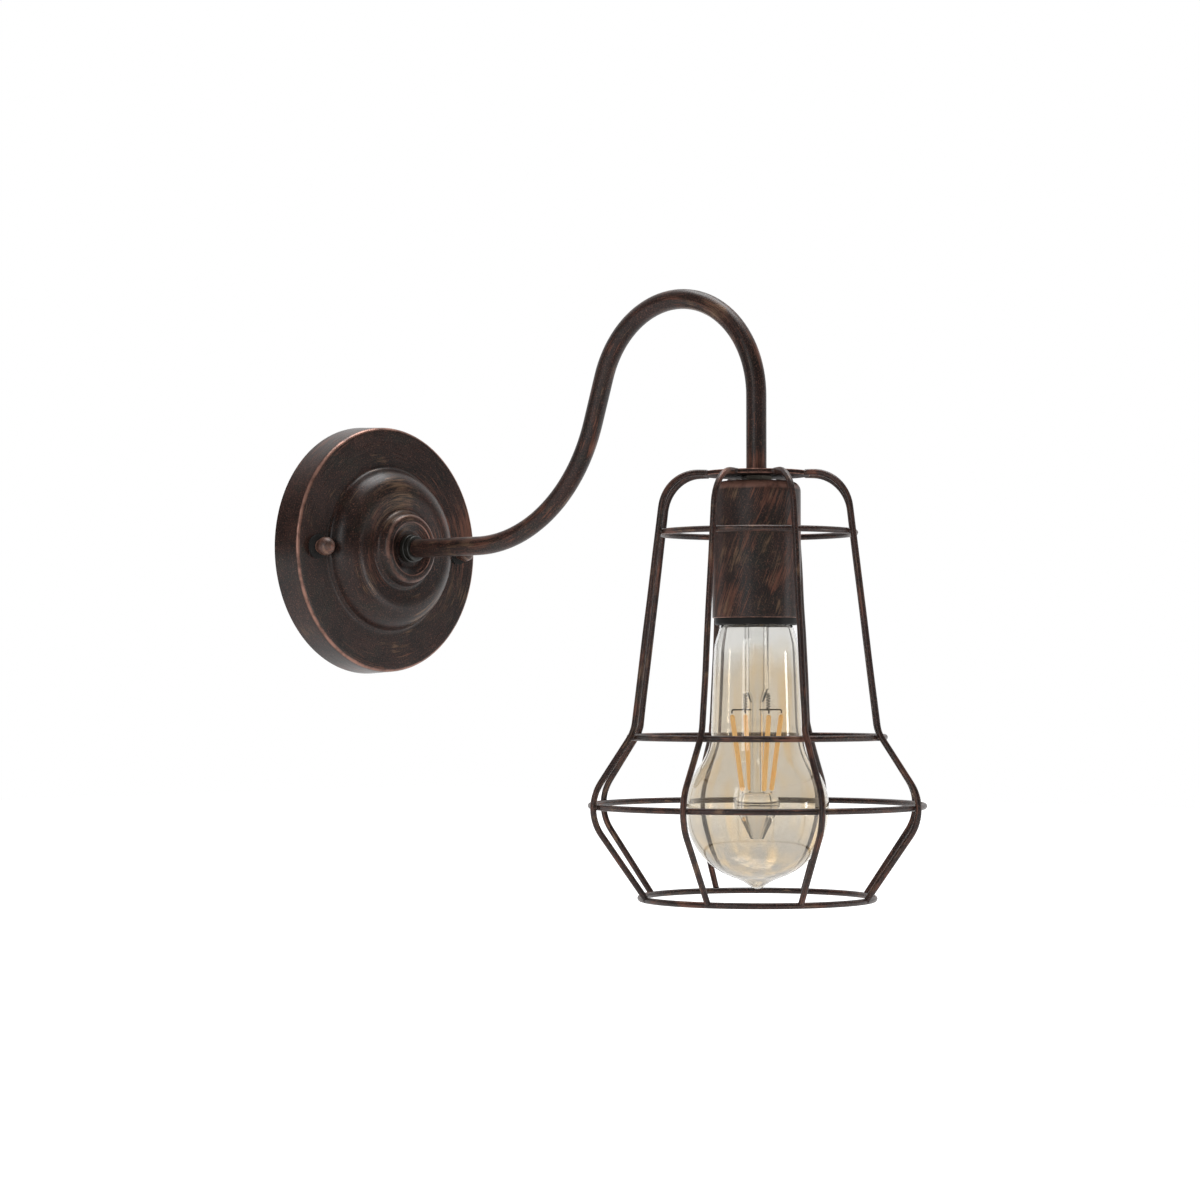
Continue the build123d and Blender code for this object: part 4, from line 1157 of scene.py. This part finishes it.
CAMERA_PLACE = Vector((-1.07834, -1.14246, -0.06929))
CAMERA_TURN = math.radians(-47.661)
CAMERA_PITCH = math.radians(1.616)
CAMERA_ROLL = math.radians(0.028)
CAMERA_LENS = 92.70
VIEW = (
    math.sin(-CAMERA_TURN) * math.cos(CAMERA_PITCH),
    math.cos(CAMERA_TURN) * math.cos(CAMERA_PITCH),
    math.sin(CAMERA_PITCH),
)
FLOOR_LEVEL = -0.30
FLOOR_SIZE = 8.0
# Distances between which the floor's glow grows to full, and its levels near the lamp
GLOW_NEAR, GLOW_FAR = 0.5, 1.8
SEEN_GLOW, MIRRORED_GLOW = 0.42, 0.22
# The backdrop that metal and glass mirror: its dark side, and where it turns white
BACKDROP_DARK, BACKDROP_START, BACKDROP_END = 0.10, 0.15, 0.6
AIM = Vector((0.0, -REACH / 2, 0.0))
# Name, place, width and height, and power of each lamp of the stage
LIGHTS = (
    ("key", (0.72, -1.34, -0.10), (0.15, 0.37), 1.8),
    ("top", (0.35, -0.05, 1.40), (1.2, 0.8), 20.0),
    ("fill", (-1.5, -0.5, 0.35), (0.5, 1.1), 5.5),
)
AMBIENT = 0.45


def seen_directly(tree):
    """Value that is one for rays that show the surroundings: seen, mirrored or refracted."""
    path = add(tree, "ShaderNodeLightPath").outputs
    mirrored = maths(tree, "MAXIMUM", path["Is Glossy Ray"], path["Is Transmission Ray"])
    return maths(tree, "MAXIMUM", path["Is Camera Ray"], mirrored)


class LAMP_OT_stage(bpy.types.Operator):
    """Lay the pale floor, hang the soft lamps and stand the camera"""
    bl_idname = "lamp.stage"
    bl_label = "Stage"

    def execute(self, context):
        scene = context.scene
        self.floor(context)
        self.world(scene)
        for name, place, (width, height), power in LIGHTS:
            data = bpy.data.lights.new(f"{name} lamp", "AREA")
            data.shape = "RECTANGLE"
            data.size = width
            data.size_y = height
            data.energy = power
            light = placed(scene, f"{name} lamp", data)
            light.location = place
            light.rotation_euler = (AIM - Vector(place)).to_track_quat("-Z", "Y").to_euler()
        data = bpy.data.cameras.new("Camera")
        data.lens = CAMERA_LENS
        camera = placed(scene, "Camera", data)
        camera.location = CAMERA_PLACE
        camera.rotation_euler = (math.pi / 2 + CAMERA_PITCH, CAMERA_ROLL, CAMERA_TURN)
        scene.camera = camera
        scene.view_settings.view_transform = "Standard"
        return {"FINISHED"}

    def floor(self, context):
        """Pale floor that keeps the lamp's shadow but reads as white."""
        work = bmesh.new()
        bmesh.ops.create_grid(work, x_segments=8, y_segments=8, size=FLOOR_SIZE / 2)
        bmesh.ops.translate(work, verts=work.verts, vec=(0.0, 0.0, FLOOR_LEVEL))
        mesh = bpy.data.meshes.new("floor")
        work.to_mesh(mesh)
        work.free()
        floor = placed(context.scene, "floor", mesh)
        material, tree, shader, place = new_material("Floor")
        tone = mixed(tree, noise_value(tree, place, 3.0), (0.80, 0.80, 0.80), (0.82, 0.82, 0.82))
        distance = add(tree, "ShaderNodeVectorMath", ((0, place),), operation="LENGTH")
        far = distance.outputs["Value"]
        seen = add(tree, "ShaderNodeLightPath").outputs["Is Camera Ray"]
        shown = times(tree, seen, ranged(tree, far, GLOW_NEAR, GLOW_FAR, SEEN_GLOW))
        mirrored = times(tree, seen_directly(tree), ranged(tree, far, GLOW_NEAR, GLOW_FAR, MIRRORED_GLOW))
        feed(tree, shader, (
            ("Base Color", tone), ("Roughness", 0.9), ("Specular IOR Level", 0.0),
            ("Emission Color", (1.0, 1.0, 1.0, 1.0)),
            ("Emission Strength", maths(tree, "MAXIMUM", shown, mirrored)),
        ))
        mesh.materials.append(material)

    def world(self, scene):
        """White surroundings, and a plain soft light from all round."""
        world = bpy.data.worlds.new("Surroundings")
        world.use_nodes = True
        tree = world.node_tree
        back = tree.nodes["Background"]
        direction = add(tree, "ShaderNodeTexCoord").outputs["Generated"]
        away = add(tree, "ShaderNodeVectorMath", ((0, direction), (1, VIEW)), operation="DOT_PRODUCT")
        backdrop = ranged(tree, away.outputs["Value"], BACKDROP_START, BACKDROP_END, BACKDROP_DARK)
        path = add(tree, "ShaderNodeLightPath").outputs
        white = maths(tree, "MAXIMUM", path["Is Camera Ray"], backdrop)
        shown = times(tree, maths(tree, "SUBTRACT", white, AMBIENT), seen_directly(tree))
        feed(tree, back, (
            ("Color", (1.0, 1.0, 1.0, 1.0)), ("Strength", maths(tree, "ADD", shown, AMBIENT)),
        ))
        scene.world = world


OPERATORS = (
    LAMP_OT_canopy, LAMP_OT_ferrule, LAMP_OT_arm, LAMP_OT_ribs, LAMP_OT_rings, LAMP_OT_disc,
    LAMP_OT_cup, LAMP_OT_lampholder, LAMP_OT_bulb_glass, LAMP_OT_bulb_cap, LAMP_OT_filaments,
    LAMP_OT_ball_nuts, LAMP_OT_wall_side, LAMP_OT_stage,
)
GROUP_NAMES = {
    "lamp_canopy": LampCanopySizes, "lamp_arm": LampArmSizes, "lamp_cage": LampCageSizes,
    "lamp_bulb": LampBulbSizes, "lamp_colours": LampColours,
}


class LAMP_PT_panel(bpy.types.Panel):
    """Sidebar panel with the lamp's sizes, colours and operators"""
    bl_idname = "LAMP_PT_panel"
    bl_label = "Caged Wall Lamp"
    bl_space_type = "VIEW_3D"
    bl_region_type = "UI"
    bl_category = "Lamp"

    def draw(self, context):
        layout = self.layout
        for name in GROUP_NAMES:
            group = getattr(context.scene, name)
            box = layout.box()
            for key in group.__annotations__:
                box.prop(group, key)
        for operator in OPERATORS:
            layout.operator(operator.bl_idname)


def register():
    """Register the sizes, the operators and the panel."""
    for name, group in GROUP_NAMES.items():
        bpy.utils.register_class(group)
        setattr(bpy.types.Scene, name, bpy.props.PointerProperty(type=group))
    for operator in OPERATORS:
        bpy.utils.register_class(operator)
    bpy.utils.register_class(LAMP_PT_panel)


def unregister():
    """Take everything off again, in the opposite order."""
    bpy.utils.unregister_class(LAMP_PT_panel)
    for operator in reversed(OPERATORS):
        bpy.utils.unregister_class(operator)
    for name, group in GROUP_NAMES.items():
        delattr(bpy.types.Scene, name)
        bpy.utils.unregister_class(group)


def main():
    """Dress the lamp piece by piece."""
    register()
    for operator in OPERATORS:
        family, name = operator.bl_idname.split(".")
        getattr(getattr(bpy.ops, family), name)()


if __name__ == "__main__":
    main()
